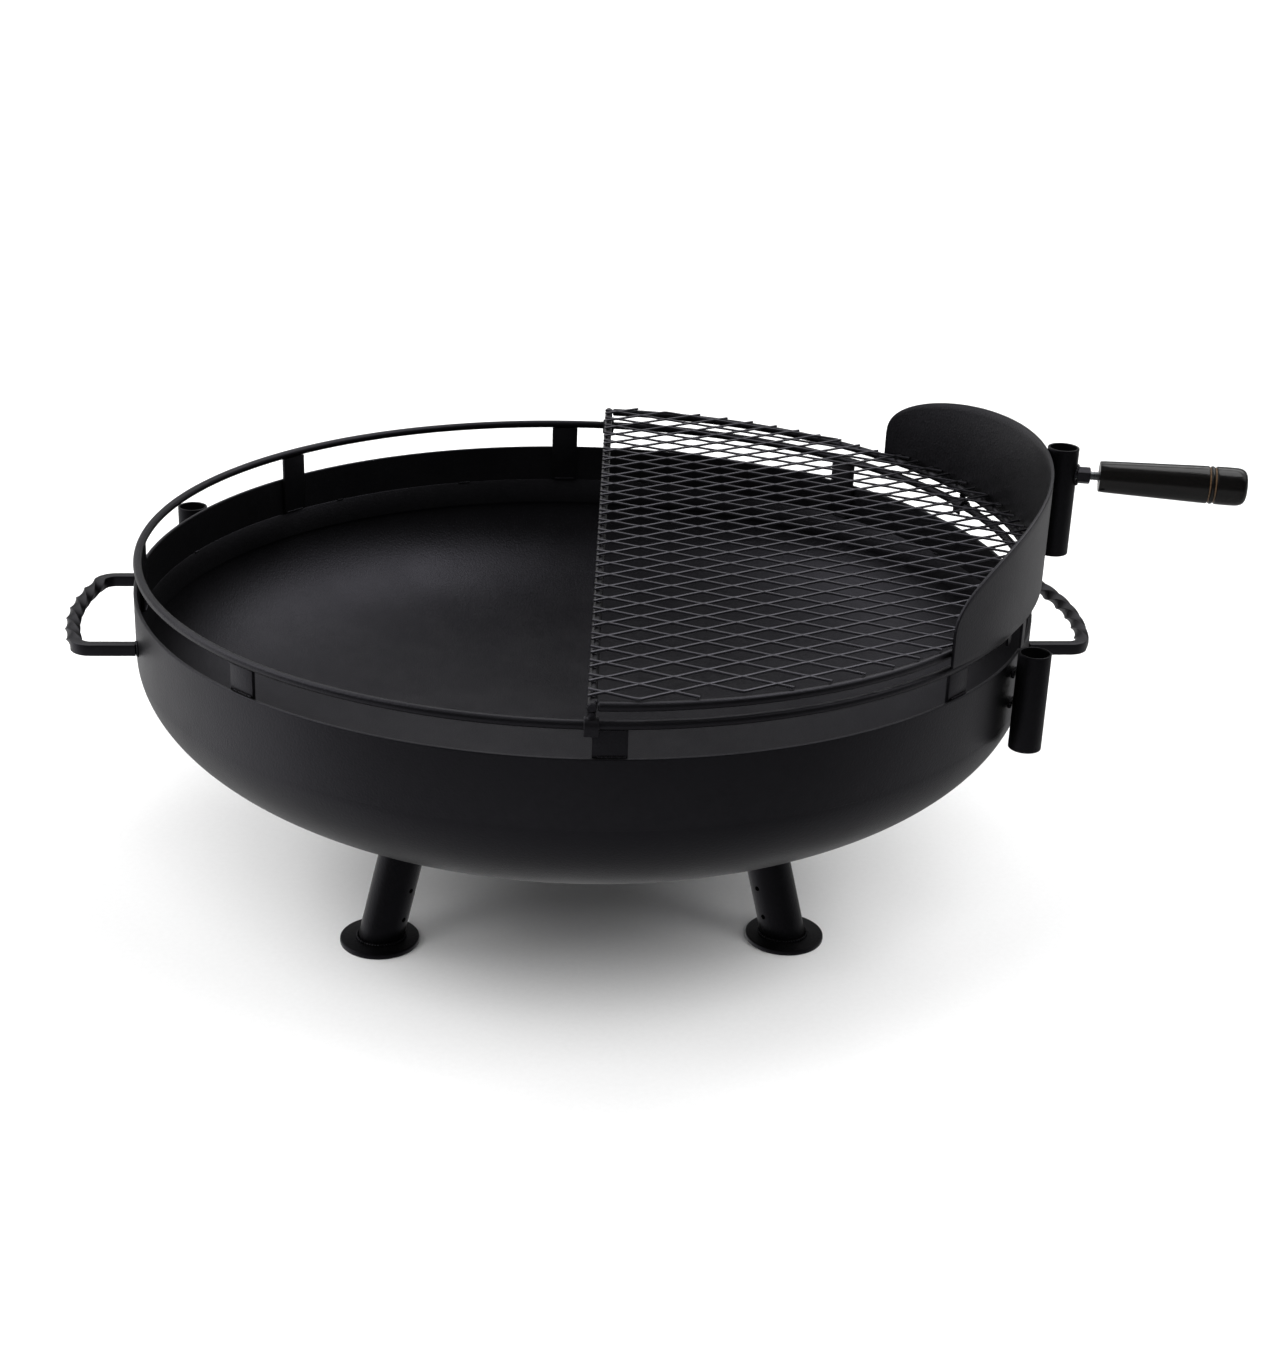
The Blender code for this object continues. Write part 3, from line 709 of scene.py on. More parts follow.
def make_rail(coat):
    pick = random.Random(3)
    ring = []
    for angle in turns(BOWL_STEPS):
        radius = RAIL_RADIUS + RAIL_WOBBLE * noise.noise(polar(3, angle))
        ring.append(BOWL + polar(radius, angle, RAIL_Z))
    shape = sweep(ring, circle(RAIL_ROD, ROD_STEPS), loop=True)
    piece("rolled_rail", shape, coat, "fire_bowl", ["rail_ring"])
    size = (TAB_THICK, TAB_WIDTH, TAB_TOP_Z - TAB_BOTTOM_Z)
    welds = Shape()
    for index, angle in enumerate(TAB_ANGLES, start=1):
        place = about_bowl(angle)
        centre = Matrix.Translation((TAB_FACE - TAB_THICK / 2, 0, (TAB_TOP_Z + TAB_BOTTOM_Z) / 2))
        shape = block(size, TAB_EDGE).moved(place @ centre)
        piece(f"tab_{index}", shape, coat, "fire_bowl", [f"rail_tab_{index}"])
        half = TAB_WIDTH / 2 - TAB_WELD_INSET
        rows = (
            (TAB_FACE + BEAD_PROUD, RIM_Z + BEAD_CLOSE, TAB_WELD),
            (TAB_FACE - TAB_THICK - BEAD_CLOSE, TAB_BOTTOM_Z + TAB_EDGE, TAB_SMALL_WELD),
        )
        for x, z, radius in rows:
            start = pick.uniform(-half, -half * 0.8)
            run = [(x, start + (half * 1.9) * i / 8, z) for i in range(9)]
            welds.add(weld(run, radius, index), place)
        run = [(TAB_FACE - BEAD_PROUD, half * (i / 4 - 1), TAB_TOP_Z - BEAD_CLOSE) for i in range(9)]
        welds.add(weld(run, TAB_SMALL_WELD, index + 20), place)
    piece("tab_welds", welds, coat, "fire_bowl")


def handle_path():
    """Centreline of a carry handle and how far its bar is turned at each point."""
    bow_x = HANDLE_REACH - HANDLE_BOW
    fillet_y = HANDLE_HALF_WIDTH - HANDLE_CORNER
    spread = HANDLE_BOW - HANDLE_CORNER
    fillet_x = bow_x + math.sqrt(spread**2 - fillet_y**2)
    bow_angle = math.asin(fillet_y / spread)
    inner_end = math.sqrt(BOWL_RADIUS**2 - (HANDLE_HALF_WIDTH - BAR_SIDE / 2) ** 2) + GAP
    half = [(inner_end, -HANDLE_HALF_WIDTH), (inner_end + HANDLE_END, -HANDLE_HALF_WIDTH)]
    half += [(inner_end + (fillet_x - inner_end) * 0.6, -HANDLE_HALF_WIDTH)]
    for step in range(HANDLE_CORNER_STEPS):
        angle = -math.pi / 2 + (math.pi / 2 - bow_angle) * step / HANDLE_CORNER_STEPS
        half.append((fillet_x + HANDLE_CORNER * math.cos(angle), -fillet_y + HANDLE_CORNER * math.sin(angle)))
    path = [(x, y, 0) for x, y in half]
    twist = [0.0] * len(path)
    for step in range(TWIST_STEPS + 1):
        share = step / TWIST_STEPS
        angle = -bow_angle + 2 * bow_angle * share
        path.append((bow_x + HANDLE_BOW * math.cos(angle), HANDLE_BOW * math.sin(angle), 0))
        twist.append(QUARTER_TWISTS * math.pi / 2 * share)
    path += [(x, -y, 0) for x, y in reversed(half)]
    twist += [twist[-1]] * len(half)
    return path, twist


def make_handles(coat):
    path, twist = handle_path()
    section = rectangle(BAR_SIDE, BAR_SIDE, BAR_EDGE, 3)
    for side, angle in HANDLE_ANGLES.items():
        matrix = about_bowl(angle) @ Matrix.Translation((0, 0, HANDLE_Z))
        bar = softened(sweep(path, section, twist=twist), BAR_END_EDGE, 1, 70.0).moved(matrix)
        piece(f"twisted_handle_{side}", bar, coat, "fire_bowl", [f"carry_handle_{side}"])
        welds = Shape()
        for end, y in enumerate((-HANDLE_HALF_WIDTH, HANDLE_HALF_WIDTH)):
            reach = BAR_SIDE / 2 + BEAD_CLOSE
            loop = rectangle(2 * reach, 2 * reach, 2 * HANDLE_WELD, 4)
            run = []
            for across, high in loop:
                x = math.sqrt(BOWL_RADIUS**2 - (y + across) ** 2) + BEAD_PROUD
                run.append((x, y + across, high))
            seed = end + 5 * len(side)
            welds.add(weld(run, HANDLE_WELD, seed, up=(1, 0, 0), loop=True), matrix)
        piece(f"handle_welds_{side}", welds, coat, "fire_bowl")


def open_tube(bottom, top):
    """A tube about Z, its edges rounded."""
    inside = TUBE_RADIUS - TUBE_WALL
    outline = [(TUBE_RADIUS, bottom), (TUBE_RADIUS, top), (inside, top), (inside, bottom)]
    return lathe(rounded(outline, TUBE_EDGE), TUBE_STEPS)


def make_sockets(coat):
    welds = Shape()
    for side, angle in SOCKET_ANGLES.items():
        centre = middle(f"post_socket_{side}")
        low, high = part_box(f"post_socket_{side}")
        tube = open_tube(low.z, high.z).moved(Matrix.Translation((centre.x, centre.y, 0)))
        piece(f"socket_tube_{side}", tube, coat, "fire_bowl", [f"post_socket_{side}"])
        for level in ("upper", "lower"):
            node = f"socket_spacer_{side}_{level}"
            place = middle(node)
            height = span(node).z
            matrix = Matrix.Translation(place) @ Matrix.Rotation(math.radians(angle), 4, "Z")
            spacer = block((SPACER_DEPTH, SPACER_WIDTH, height), SPACER_EDGE).moved(matrix)
            piece(f"spacer_{side}_{level}", spacer, coat, "fire_bowl", [node])
            for y in (-SPACER_WELD_Y, SPACER_WELD_Y):
                run = [(BEAD_OFF, y * (1 - 0.1 * math.sin(i)), height * (i / 6 - 0.5)) for i in range(7)]
                seed = int(place.z * 1e4) + int(y * 1e3)
                welds.add(weld(run, SPACER_WELD, seed, up=(0, 1, 0)), matrix)
    piece("socket_welds", welds, coat, "fire_bowl")


# ---- legs


def leg_end(origin, axis, foot):
    """How far along the leg's axis direction a line from origin reaches the dish, or the foot disc."""
    if foot:
        return (FOOT_THICK + GAP - origin.z) / axis.z
    low, high = 0.05, 0.26
    for _ in range(30):
        mid = (low + high) / 2
        point = origin + axis * mid
        radius = math.hypot(point.x, point.y)
        under = dish_height(radius) if radius < BOWL_RADIUS else 1.0
        if point.z < under - GAP:
            low = mid
        else:
            high = mid
    return low


def leg_rows(radius):
    """Lines up a leg tube in its own outward frame: pairs of lowest and highest point."""
    lean = Matrix.Rotation(-LEG_LEAN, 3, "Y")
    axis = lean @ Vector((0, 0, 1))
    rows = []
    for angle in turns(LEG_STEPS):
        origin = Vector((FOOT_CENTRE, 0, 0)) + lean @ polar(radius, angle)
        lowest, highest = (origin + axis * leg_end(origin, axis, foot) for foot in (True, False))
        rows.append((lowest, highest))
    return rows


def make_leg_tube():
    outer = leg_rows(LEG_RADIUS)
    inner = leg_rows(LEG_RADIUS - LEG_WALL)
    rings = []
    for (a0, a1), (b0, b1) in zip(outer, inner):
        shares = [i / LEG_ROWS for i in range(LEG_ROWS + 1)]
        rings.append([a0.lerp(a1, share) for share in shares] + [b1.lerp(b0, share) for share in shares])
    return softened(Shape().rings(rings, loop=True), LEG_EDGE, 2, 60.0)


def bored(obj, holes, radius, sides=28):
    """Cuts short round holes through an object. Each hole is a matrix whose X axis runs along it."""
    for matrix in holes:
        bm = bmesh.new()
        bmesh.ops.create_cone(
            bm, cap_ends=True, segments=sides, radius1=radius, radius2=radius, depth=HOLE_CUT_DEPTH
        )
        bmesh.ops.rotate(bm, verts=bm.verts, matrix=Matrix.Rotation(math.pi / 2, 3, "Y"))
        mesh = bpy.data.meshes.new("hole")
        bm.to_mesh(mesh)
        bm.free()
        cutter = bpy.data.objects.new("hole", mesh)
        cutter.matrix_world = matrix
        bpy.context.scene.collection.objects.link(cutter)
        bpy.context.view_layer.update()
        cut = obj.modifiers.new("hole", "BOOLEAN")
        cut.object = cutter
        cut.solver = "EXACT"
        graph = bpy.context.evaluated_depsgraph_get()
        mesh = bpy.data.meshes.new_from_object(obj.evaluated_get(graph))
        obj.modifiers.clear()
        obj.data = mesh
        bpy.data.objects.remove(cutter, do_unlink=True)
    obj.data.shade_smooth()
    obj.data.set_sharp_from_angle(angle=HOLE_SHARP)


def make_legs(coat):
    """Three legs that lean outwards on foot discs, each with holes in its sides."""
    tube = make_leg_tube()
    outline = [(0.0, 0.0), (FOOT_RADIUS, 0.0), (FOOT_RADIUS, FOOT_THICK), (0.0, FOOT_THICK)]
    foot = lathe(rounded(outline, FOOT_EDGE, closed=False), FOOT_STEPS, closed=False)
    low = [pair[0] for pair in leg_rows(LEG_RADIUS + BEAD_PROUD)]
    high = [pair[1] for pair in leg_rows(LEG_RADIUS + BEAD_OFF)]
    for index, angle in enumerate(LEG_ANGLES, start=1):
        place = about_bowl(angle)
        shape = Shape().add(foot, place @ Matrix.Translation((FOOT_CENTRE, 0, 0)))
        piece(f"foot_{index}", shape, coat, "fire_bowl", [f"foot_disc_{index}"])
        leg = piece(f"leg_{index}", Shape().add(tube, place), coat, "fire_bowl", [f"leg_tube_{index}"])
        holes = []
        for height in LEG_HOLE_HEIGHTS:
            for side in LEG_HOLE_SIDES:
                lean = Matrix.Translation((FOOT_CENTRE, 0, 0)) @ Matrix.Rotation(-LEG_LEAN, 4, "Y")
                up = Matrix.Translation((0, 0, height / math.cos(LEG_LEAN)))
                out = Matrix.Rotation(math.radians(side), 4, "Z") @ Matrix.Translation((LEG_RADIUS, 0, 0))
                holes.append(place @ lean @ up @ out)
        bored(leg, holes, LEG_HOLE_RADIUS)
        welds = Shape()
        foot_run = [p + Vector((0, 0, BEAD_CLOSE)) for p in low]
        top_run = [p - Vector((0, 0, BEAD_OFF)) for p in high]
        welds.add(weld(foot_run, LEG_FOOT_WELD, index, loop=True), place)
        welds.add(weld(top_run, LEG_TOP_WELD, index + 9, loop=True), place)
        piece(f"leg_welds_{index}", welds, coat, "fire_bowl")


# ---- grill


def strand_offset(x, level):
    """How far a strand of the panel swings from its own line, from -1 to 1, at a place along it."""
    phase = (x - PANEL_START_X) / PANEL_LONG - 0.5 * (level % 2)
    phase = abs(phase - round(phase)) * 2  # 0 at the far bond, 1 at the near bond
    flat = BOND_LENGTH / PANEL_LONG
    share = min(1.0, max(0.0, (phase - flat) / (1 - 2 * flat)))
    smooth = share * share * (3 - 2 * share)
    return 1 - 2 * ((1 - STRAND_CURVE) * share + STRAND_CURVE * smooth)


def strand_y(x, level):
    """Where a strand lies across the rows, at a place along it."""
    line = PANEL_START_Y + PANEL_SHEAR * (x - PANEL_START_X) + PANEL_SHORT / 2 * (level + 0.5)
    return line + (PANEL_SHORT / 2 - BOND_STEP) / 2 * strand_offset(x, level)


def panel_reach(x, y):
    """Radius of the panel's cut edge in the direction of a point."""
    if abs(math.atan2(y, x)) < PANEL_TO_GUARD:
        return GUARD_RADIUS - 2 * GAP
    return PANEL_RADIUS


def strand_path(level):
    """Stations along one strand, from the straight edge out to the arc."""

    def within(x):
        y = strand_y(x, level)
        return math.hypot(x, y) <= panel_reach(x, y)

    step = PANEL_LONG / STRAND_STEPS
    x = PANEL_EDGE_X
    stations = []
    while within(x):
        stations.append(x)
        x += step
    if not stations:
        return []
    inside, outside = stations[-1], x
    for _ in range(20):
        mid = (inside + outside) / 2
        if within(mid):
            inside = mid
        else:
            outside = mid
    if inside - stations[-1] <= step * 0.3:
        stations.pop()
    stations.append(inside)
    return [(x, strand_y(x, level)) for x in stations] if len(stations) > 3 else []


def make_panel(coat):
    section = rectangle(STRAND_WIDTH, STRAND_THICK, STRAND_EDGE, 1)
    base = FRAME_Z + FRAME_ROD + 2 * GAP + STRAND_THICK / 2
    pick = random.Random(11)
    shape = Shape()
    levels = int(PANEL_RADIUS * (1 + PANEL_SHEAR) / (PANEL_SHORT / 2)) + 2
    for level in range(-levels, levels):
        points = strand_path(level)
        if not points:
            continue
        path, lean, size = [], [], []
        for x, y in points:
            swing = strand_offset(x, level)
            path.append((x, y, base + STRAND_RISE * swing + pick.uniform(-0.00004, 0.00004)))
            lean.append(STRAND_LEAN * swing)
            size.append(1.0 - STRAND_WAIST * (1 - swing * swing) + pick.uniform(-0.01, 0.01))
        shape.add(sweep(path, section, twist=lean, scale=size))
    shape.moved(GRILL)
    piece("expanded_panel", shape, coat, "grill", ["grill_mesh"], 50.0)


def frame_rod(path):
    """A round rod of the grill's frame, its end edges softly broken."""
    path = [Vector(p) for p in path]
    first = (path[1] - path[0]).normalized() * FRAME_ROD * 0.25
    last = (path[-1] - path[-2]).normalized() * FRAME_ROD * 0.25
    path = [path[0], path[0] + first, *path[1:-1], path[-1] - last, path[-1]]
    scale = [0.78, 1.0] + [1.0] * (len(path) - 4) + [1.0, 0.78]
    return sweep(path, circle(FRAME_ROD, ROD_STEPS), scale=scale)


def make_frame(coat):
    straight = [(STRAIGHT_X, STRAIGHT_REACH * (i / 30 - 1), FRAME_Z) for i in range(61)]
    piece("straight_rod", frame_rod(straight).moved(GRILL), coat, "grill", ["grill_straight_rod"])
    end = math.acos(ARC_END_X / RAIL_RADIUS)
    angles = [end * (i / 80 - 1) for i in range(161)]
    arc = [polar(RAIL_RADIUS, angle, FRAME_Z) for angle in angles]
    piece("arc_rod", frame_rod(arc).moved(GRILL), coat, "grill", ["grill_arc_rod"])
    welds = Shape()
    for side in (-1, 1):
        x, y = ARC_END_X - 0.0012, side * (RAIL_RADIUS - 0.002)
        run = [(x - 0.0006, y - side * 0.004 + side * 0.0010 * i, FRAME_Z + 0.0022) for i in range(6)]
        welds.add(weld(run, ROD_WELD, 40 + side))
    levels = int(PANEL_RADIUS / (PANEL_SHORT / 2)) + 1
    pick = random.Random(5)
    for level in range(-levels, levels):
        y = strand_y(STRAIGHT_X, level)
        if abs(y) > STRAIGHT_REACH - 0.004:
            continue
        start = pick.uniform(-0.0014, -0.0008)
        x, z = STRAIGHT_X + start * 1.6, FRAME_Z + FRAME_ROD + BEAD_CLOSE
        run = [(x + 0.0008 * i, y - 0.0012, z) for i in range(5)]
        welds.add(weld(run, STRAND_WELD, 60 + level))
    piece("frame_welds", welds.moved(GRILL), coat, "grill")


def saddle_outline(bottom):
    """A fork that straddles the rail: an arch over it and two prongs beside it."""
    outer = SADDLE_GAP + SADDLE_STRAP
    half = [math.pi * i / 16 for i in range(17)]
    over = [(outer * math.cos(t), SADDLE_ARCH_Z + outer * math.sin(t)) for t in half]
    under = [(SADDLE_GAP * math.cos(t), SADDLE_ARCH_Z + SADDLE_GAP * math.sin(t)) for t in half]
    feet = [(-outer, bottom), (-SADDLE_GAP, bottom)]
    other_feet = [(SADDLE_GAP, bottom), (outer, bottom)]
    return over + feet + list(reversed(under)) + other_feet


def make_saddles(coat):
    lift = Matrix.Rotation(math.pi / 2, 4, "X")
    for index, (angle, bottom) in enumerate(SADDLES, start=1):
        place = GRILL @ Matrix.Rotation(math.radians(angle), 4, "Z")
        place = place @ Matrix.Translation((RAIL_RADIUS, 0, RAIL_Z))
        shape = plate(saddle_outline(bottom), SADDLE_WIDTH, SADDLE_EDGE, 1).moved(place @ lift)
        low = SADDLE_GAP + SADDLE_STRAP * 0.5
        high = FRAME_Z - RAIL_Z - FRAME_ROD
        # Height along the neck, and its radius as a share of SADDLE_NECK
        rows = ((low, 1.25), (low + 0.0014, 1.0), (high - 0.0012, 0.95), (high, 1.15))
        rings = [[(x * k, y * k, z) for x, y in circle(SADDLE_NECK, ROD_STEPS)] for z, k in rows]
        shape.add(Shape().rings(rings).moved(place))
        piece(f"saddle_{index}", shape, coat, "grill", [f"grill_saddle_{index}"])


# ---- wind guard


def guard_top_outline():
    """Pairs of length along the guard and height of its top edge, from one end to the middle."""
    rise = GUARD_TOP_Z - GUARD_SHOULDER_Z
    half = []
    for step in range(GUARD_TOP_STEPS + 1):
        turn = math.pi / 2 * step / GUARD_TOP_STEPS
        height = GUARD_SHOULDER_Z + rise * math.sin(turn) ** GUARD_TOP_POWER
        half.append((GUARD_HALF_LENGTH * math.cos(turn), height))
    return half


def guard_place():
    """The guard's own frame, at its lower edge on the grill's axis."""
    tilt = Matrix.Rotation(GUARD_TURN, 4, "Z") @ Matrix.Rotation(GUARD_TILT, 4, "X")
    return GRILL @ Matrix.Translation((0, 0, GUARD_BOTTOM_Z)) @ tilt


def make_guard(coat):
    half = guard_top_outline()
    outline = [(-length, top) for length, top in half] + list(reversed(half[:-1]))
    bend = GUARD_RADIUS + GUARD_THICK / 2
    rings = []
    for length, top in outline:
        angle = length / bend
        heights = [(top - GUARD_BOTTOM_Z) * i / GUARD_ROWS for i in range(GUARD_ROWS + 1)]
        inner = [polar(GUARD_RADIUS, angle, z) for z in heights]
        rings.append(inner + [polar(GUARD_RADIUS + GUARD_THICK, angle, z) for z in reversed(heights)])
    sheet = softened(Shape().rings(rings), GUARD_EDGE, 2, 60.0).moved(guard_place())
    piece("guard_sheet", sheet, coat, "grill", ["wind_guard"], smooth=45.0)


def make_guard_welds(coat):
    """Short beads that hold the guard to the arc rod and the sleeve to the guard."""
    welds = Shape()
    place = guard_place()
    radius = GUARD_RADIUS - 0.0008
    for index, angle in enumerate(GUARD_WELD_ANGLES):
        run = []
        for i in range(7):
            turn = math.radians(angle + (i - 3) * 0.4)
            run.append(polar(radius, turn, GUARD_WELD_Z))
        welds.add(weld(run, GUARD_WELD, 80 + index), place)
    for side in (-1, 1):
        x = GUARD_RADIUS + GUARD_THICK + 0.0013
        top = SLEEVE_TOP_Z - SLEEVE_WELD_DROP
        run = [(x, side * SLEEVE_WELD_Y, top - SLEEVE_WELD_LENGTH * i / 24) for i in range(25)]
        welds.add(weld(run, SLEEVE_WELD, 90 + side, up=(1, 0, 0)), GRILL)
    piece("guard_welds", welds, coat, "grill")


# ---- clamp


def make_sleeve(coat):
    """The sleeve tube, with the hole in its wall that the stud passes through."""
    tube = open_tube(SLEEVE_TOP_Z - SLEEVE_LENGTH, SLEEVE_TOP_Z)
    tube.moved(GRILL @ Matrix.Translation((SLEEVE_RADIUS, 0, 0)))
    sleeve = piece("sleeve_tube", tube, coat, "grill", ["clamp_sleeve"])
    bored(sleeve, [CLAMP @ Matrix.Translation((TUBE_RADIUS, 0, 0))], STUD_RADIUS + GAP, 40)


def make_nut(coat):
    """A hexagon nut, its outer corners chamfered round, on a ring of weld."""
    start = TUBE_RADIUS + GAP
    end = start + NUT_LENGTH
    corner = NUT_FLATS / math.sqrt(3)
    bore = STUD_RADIUS + GAP
    rings = []
    for angle in turns(NUT_STEPS):
        nearest = (angle + math.pi / 6) % (math.pi / 3) - math.pi / 6
        flat = min(NUT_FLATS / 2 / math.cos(nearest), corner - NUT_CORNER_CUT)
        worn = min(flat, NUT_FLATS / 2 + 0.0001)
        c, s = math.cos(angle), math.sin(angle)
        drop = (flat - worn) * 0.8
        outline = [
            (start, bore),
            (start, flat),
            (end - NUT_CHAMFER - drop, flat),
            (end - NUT_CORNER_CUT, worn - NUT_CORNER_CUT),
            (end, worn - NUT_FACE_INSET),
            (end, bore + BORE_MOUTH),
            (end - BORE_MOUTH, bore),
        ]
        rings.append([(x, r * c, r * s) for x, r in outline])
    nut = Shape().rings(rings, loop=True).moved(CLAMP)
    piece("weld_nut", nut, coat, "grill", ["clamp_nut"], smooth=25.0)
    run = []
    for angle in turns(60):
        y, z = (corner + BEAD_OFF) * math.cos(angle), (corner + BEAD_OFF) * math.sin(angle)
        run.append((math.sqrt(TUBE_RADIUS**2 - y * y) + BEAD_PROUD, y, z))
    bead = weld(run, NUT_WELD, 17, up=(1, 0, 0), loop=True).moved(CLAMP)
    piece("nut_weld", bead, coat, "grill")


def make_stud():
    """A threaded rod: one ridge that winds round a core."""
    end = GRIP_START + GRIP_BORE_DEPTH - 2 * GAP
    core = STUD_RADIUS - THREAD_DEPTH
    crest = STUD_RADIUS - THREAD_CREST_INSET
    count = int((end - STUD_TIP - THREAD_PITCH) / THREAD_PITCH * THREAD_STEPS)
    rise, fall, root = THREAD_CREST
    ridge = [(0.0, core), (rise, crest), (fall, crest), (root, core), (1.0, core)]
    rings = []
    for i in range(count + 1):
        angle = 2 * math.pi * i / THREAD_STEPS
        x = STUD_TIP + THREAD_PITCH * i / THREAD_STEPS
        fade = min(1.0, min(i, count - i) / (THREAD_STEPS / 2))
        ring = []
        for share, radius in ridge:
            r = core + (radius - core) * fade
            ring.append((x + share * THREAD_PITCH, r * math.cos(angle), r * math.sin(angle)))
        rings.append(ring)
    shape = Shape().rings(rings, around=False, cap=False)
    ends = (STUD_TIP + THREAD_PITCH * 0.8, end - THREAD_PITCH * 0.2)
    shape.add(Shape().rings([[(x, y, z) for y, z in circle(core - 0.0001, THREAD_STEPS)] for x in ends]))
    piece("threaded_stud", shape.moved(CLAMP), zinc(), "clamp_screw", ["clamp_stud"], 20.0)


GRIP_LINE = (  # distance from the inner end, radius
    (0.0, 0.0110), (0.0004, 0.0122), (0.0018, 0.0131), (0.020, 0.0138), (0.040, 0.0144),
    (0.060, 0.0150), (0.080, 0.0156), (0.0886, 0.0158), (0.0896, 0.0156), (0.0900, 0.0150),
    (0.0907, 0.0148), (0.0912, 0.0151), (0.0917, 0.0157), (0.0928, 0.0159), (0.0937, 0.0157),
    (0.0943, 0.0151), (0.0950, 0.0148), (0.0957, 0.0150), (0.0962, 0.0157), (0.0972, 0.0159),
    (0.104, 0.0160), (0.111, 0.0160), (0.1150, 0.0157), (0.1180, 0.0148), (0.1200, 0.0133),
    (0.1212, 0.0112), (0.1218, 0.0080), (0.1220, 0.0040),
)
GROOVES = ((0.0901, 0.0911), (0.0945, 0.0956))  # where bare wood shows, from the inner end


def smooth_line(points, steps):
    """A Catmull-Rom curve through points."""
    points = [Vector(p) for p in points]
    padded = [points[0], *points, points[-1]]
    result = []
    for a, b, c, d in zip(padded, padded[1:], padded[2:], padded[3:]):
        for i in range(steps):
            t = i / steps
            square, cube = 2 * a - 5 * b + 4 * c - d, 3 * b - a - 3 * c + d
            result.append(0.5 * ((2 * b) + (c - a) * t + square * t * t + cube * t**3))
    return result + [points[-1]]


def make_grip():
    """The turned handle, bare wood showing in its two grooves."""
    bore = STUD_RADIUS + GAP
    profile = [(0.0, GRIP_BORE_DEPTH), (bore, GRIP_BORE_DEPTH), (bore, BORE_MOUTH), (bore + BORE_MOUTH, 0.0)]
    profile += [(radius, distance) for distance, radius in smooth_line(GRIP_LINE, 3)]
    profile += [(0.0, GRIP_LENGTH)]
    lie = CLAMP @ Matrix.Translation((GRIP_START, 0, 0)) @ Matrix.Rotation(math.pi / 2, 4, "Y")
    shape = lathe(profile, GRIP_STEPS, closed=False).moved(lie)
    materials = [lacquer(), bare_wood()]
    grip = piece("turned_grip", shape, materials, "clamp_handle", ["clamp_grip"], 50.0)
    back = lie.inverted()
    for face in grip.data.polygons:
        centre = back @ face.center
        outward = math.hypot(centre.x, centre.y) > bore + 0.002
        if outward and any(low < centre.z < high for low, high in GROOVES):
            face.material_index = 1


# ---- studio

FLOOR_HALF = 24.0
SKY = 1.25
FRONT_SKY = (  # height from straight down, at 0, to straight up, at 1; brightness
    (0.0, 0.15), (0.38, 0.16), (0.46, 0.06), (0.54, 0.04), (0.90, 0.04), (1.0, 0.08),
)
BACK_SKY = (
    (0.0, 0.15), (0.30, 0.42), (0.49, 0.36), (0.50, 0.6), (0.526, 0.6), (0.54, 0.10),
    (0.62, 0.10), (0.72, 0.28), (0.80, 0.7), (0.90, 0.7), (0.96, 0.2), (1.0, 0.1),
)
FRONT_TO_BACK = (-0.45, -0.05)  # where one sky gives way to the other, along Y
LEFT_TO_RIGHT = (1.6, 0.6)  # the sky's strength from one side to the other
PAPER_LIGHTS = ((-90.0, 1.0), (-150.0, 0.7), (-30.0, 0.7), (150.0, 0.45), (30.0, 0.45))  # direction, share
PAPER_LIGHT = 1.6
PAPER_LIGHT_SPREAD = math.radians(32)
LIGHT_TARGET = BOWL + Vector((0, 0, 0.2))
SOFT_BOXES = (  # name, place, size, power
    ("key", (0.9, 0.3, 2.5), (1.4, 1.0), 6.5),
    ("rim", (1.7, 1.9, 2.4), (1.8, 0.5), 3.5),
    ("left", (-2.6, 0.5, 1.5), (1.2, 1.6), 5.0),
)
CAMERA_CLIP = 100.0


def make_floor():
    """A broad sheet of paper. It stays out of the gloss, which reflects the sky alone."""
    mesh = bpy.data.meshes.new("floor")
    corners = [(-FLOOR_HALF, -FLOOR_HALF, 0), (FLOOR_HALF, -FLOOR_HALF, 0)]
    corners += [(FLOOR_HALF, FLOOR_HALF, 0), (-FLOOR_HALF, FLOOR_HALF, 0)]
    mesh.from_pydata(corners, [], [(0, 1, 2, 3)])
    mesh.materials.append(floor_sheet())
    floor = bpy.data.objects.new("floor", mesh)
    bpy.context.scene.collection.objects.link(floor)
    floor.visible_glossy = False


def soft_box(name, place, size, power):
    """A rectangular soft light that faces the bowl."""
    light = bpy.data.lights.new(name, "AREA")
    light.shape = "RECTANGLE"
    light.size, light.size_y = size
    light.energy = power
    obj = bpy.data.objects.new(name, light)
    obj.location = place
    obj.rotation_euler = (LIGHT_TARGET - Vector(place)).to_track_quat("-Z", "Y").to_euler()
    bpy.context.scene.collection.objects.link(obj)


def sky_ramp(tree, height, stops):
    """Brightness of the sky from straight down, at 0, to straight up, at 1."""
    ramp = tree.nodes.new("ShaderNodeValToRGB")
    for position, value in stops[1:-1]:
        ramp.color_ramp.elements.new(position)
    for element, (position, value) in zip(ramp.color_ramp.elements, stops):
        element.position = position
        element.color = (value, value, value, 1.0)
    tree.links.new(height, ramp.inputs["Fac"])
    return ramp.outputs["Color"]


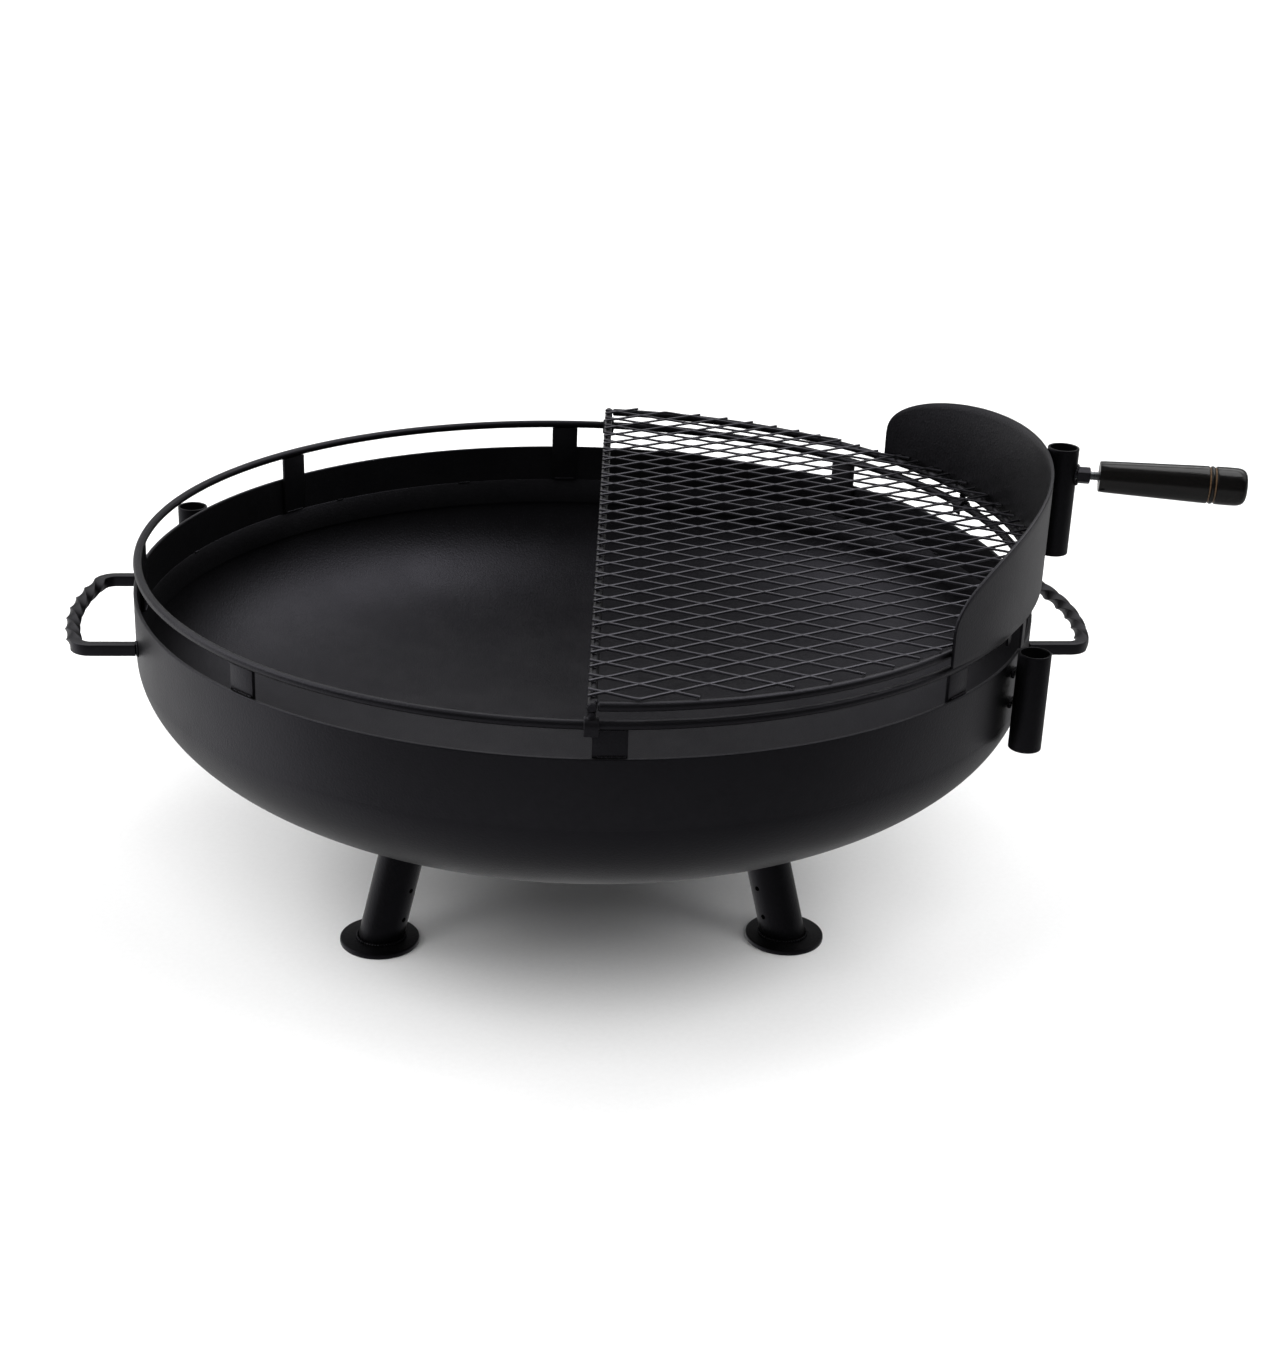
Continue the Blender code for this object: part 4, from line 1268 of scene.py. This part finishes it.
def make_sky():
    """A dark front and a bright back for the gloss to reflect, behind a plain white backdrop."""
    world = bpy.data.worlds.new("studio")
    bpy.context.scene.world = world
    world.use_nodes = True
    tree = world.node_tree
    split = tree.nodes.new("ShaderNodeSeparateXYZ")
    tree.links.new(tree.nodes.new("ShaderNodeTexCoord").outputs["Generated"], split.inputs[0])
    height = mapped(tree, split.outputs["Z"], -1.0, 1.0, 0.0, 1.0)
    back = mapped(tree, split.outputs["Y"], *FRONT_TO_BACK, 0.0, 1.0)
    side = mapped(tree, split.outputs["X"], -1.0, 1.0, *LEFT_TO_RIGHT)
    mix = tree.nodes.new("ShaderNodeMix")
    mix.data_type = "RGBA"
    colours = [socket for socket in mix.inputs if socket.type == "RGBA"]
    tree.links.new(back, mix.inputs["Factor"])
    tree.links.new(sky_ramp(tree, height, FRONT_SKY), colours[0])
    tree.links.new(sky_ramp(tree, height, BACK_SKY), colours[1])
    strength = tree.nodes.new("ShaderNodeMath")
    strength.operation = "MULTIPLY"
    strength.inputs[1].default_value = SKY
    tree.links.new(side, strength.inputs[0])
    sky = tree.nodes["Background"]
    tree.links.new([socket for socket in mix.outputs if socket.type == "RGBA"][0], sky.inputs["Color"])
    tree.links.new(strength.outputs["Value"], sky.inputs["Strength"])
    backdrop = tree.nodes.new("ShaderNodeBackground")
    backdrop.inputs["Color"].default_value = (1.0, 1.0, 1.0, 1.0)
    choose = tree.nodes.new("ShaderNodeMixShader")
    tree.links.new(tree.nodes.new("ShaderNodeLightPath").outputs["Is Camera Ray"], choose.inputs[0])
    tree.links.new(sky.outputs[0], choose.inputs[1])
    tree.links.new(backdrop.outputs[0], choose.inputs[2])
    tree.links.new(choose.outputs[0], tree.nodes["World Output"].inputs["Surface"])


def paper_light(angle, strength):
    """A broad light from halfway up that whitens the paper without showing in the coat."""
    light = bpy.data.lights.new("paper_light", "SUN")
    light.angle = PAPER_LIGHT_SPREAD
    light.energy = strength
    obj = bpy.data.objects.new("paper_light", light)
    turn = math.radians(angle)
    towards = Vector((math.cos(turn), math.sin(turn), 1.0))
    obj.rotation_euler = towards.to_track_quat("Z", "Y").to_euler()
    obj.visible_glossy = False
    bpy.context.scene.collection.objects.link(obj)


def make_lights():
    for box in SOFT_BOXES:
        soft_box(*box)
    for angle, share in PAPER_LIGHTS:
        paper_light(angle, share * PAPER_LIGHT)


def make_camera():
    camera = bpy.data.cameras.new("camera")
    camera.lens = CAMERA_LENS
    camera.sensor_width = CAMERA_SENSOR
    camera.clip_end = CAMERA_CLIP
    obj = bpy.data.objects.new("camera", camera)
    aim = Matrix.Rotation(-CAMERA_YAW, 4, "Z") @ Matrix.Rotation(math.pi / 2 - CAMERA_PITCH, 4, "X")
    level = Matrix.Rotation(CAMERA_ROLL, 4, "Z")
    obj.matrix_world = Matrix.Translation(BOWL + CAMERA_FROM_BOWL) @ aim @ level
    bpy.context.scene.collection.objects.link(obj)
    bpy.context.scene.camera = obj
    bpy.context.scene.view_settings.view_transform = "Standard"


make_camera()
make_sky()
make_lights()
make_floor()
black = powder_coat("black_coat", 0.0011, 0.36)
panel_coat = powder_coat("panel_coat", 0.003, 0.30, worn=0.8, specular=1.0, ior=1.65)
tube_coat = powder_coat("tube_coat", 0.0012, 0.38, worn=0.4, specular=0.25)
make_bowl(black)
make_rail(black)
make_handles(black)
make_sockets(tube_coat)
make_legs(tube_coat)
make_panel(panel_coat)
make_frame(black)
make_saddles(black)
make_guard(black)
make_guard_welds(black)
make_sleeve(tube_coat)
make_nut(black)
make_stud()
make_grip()
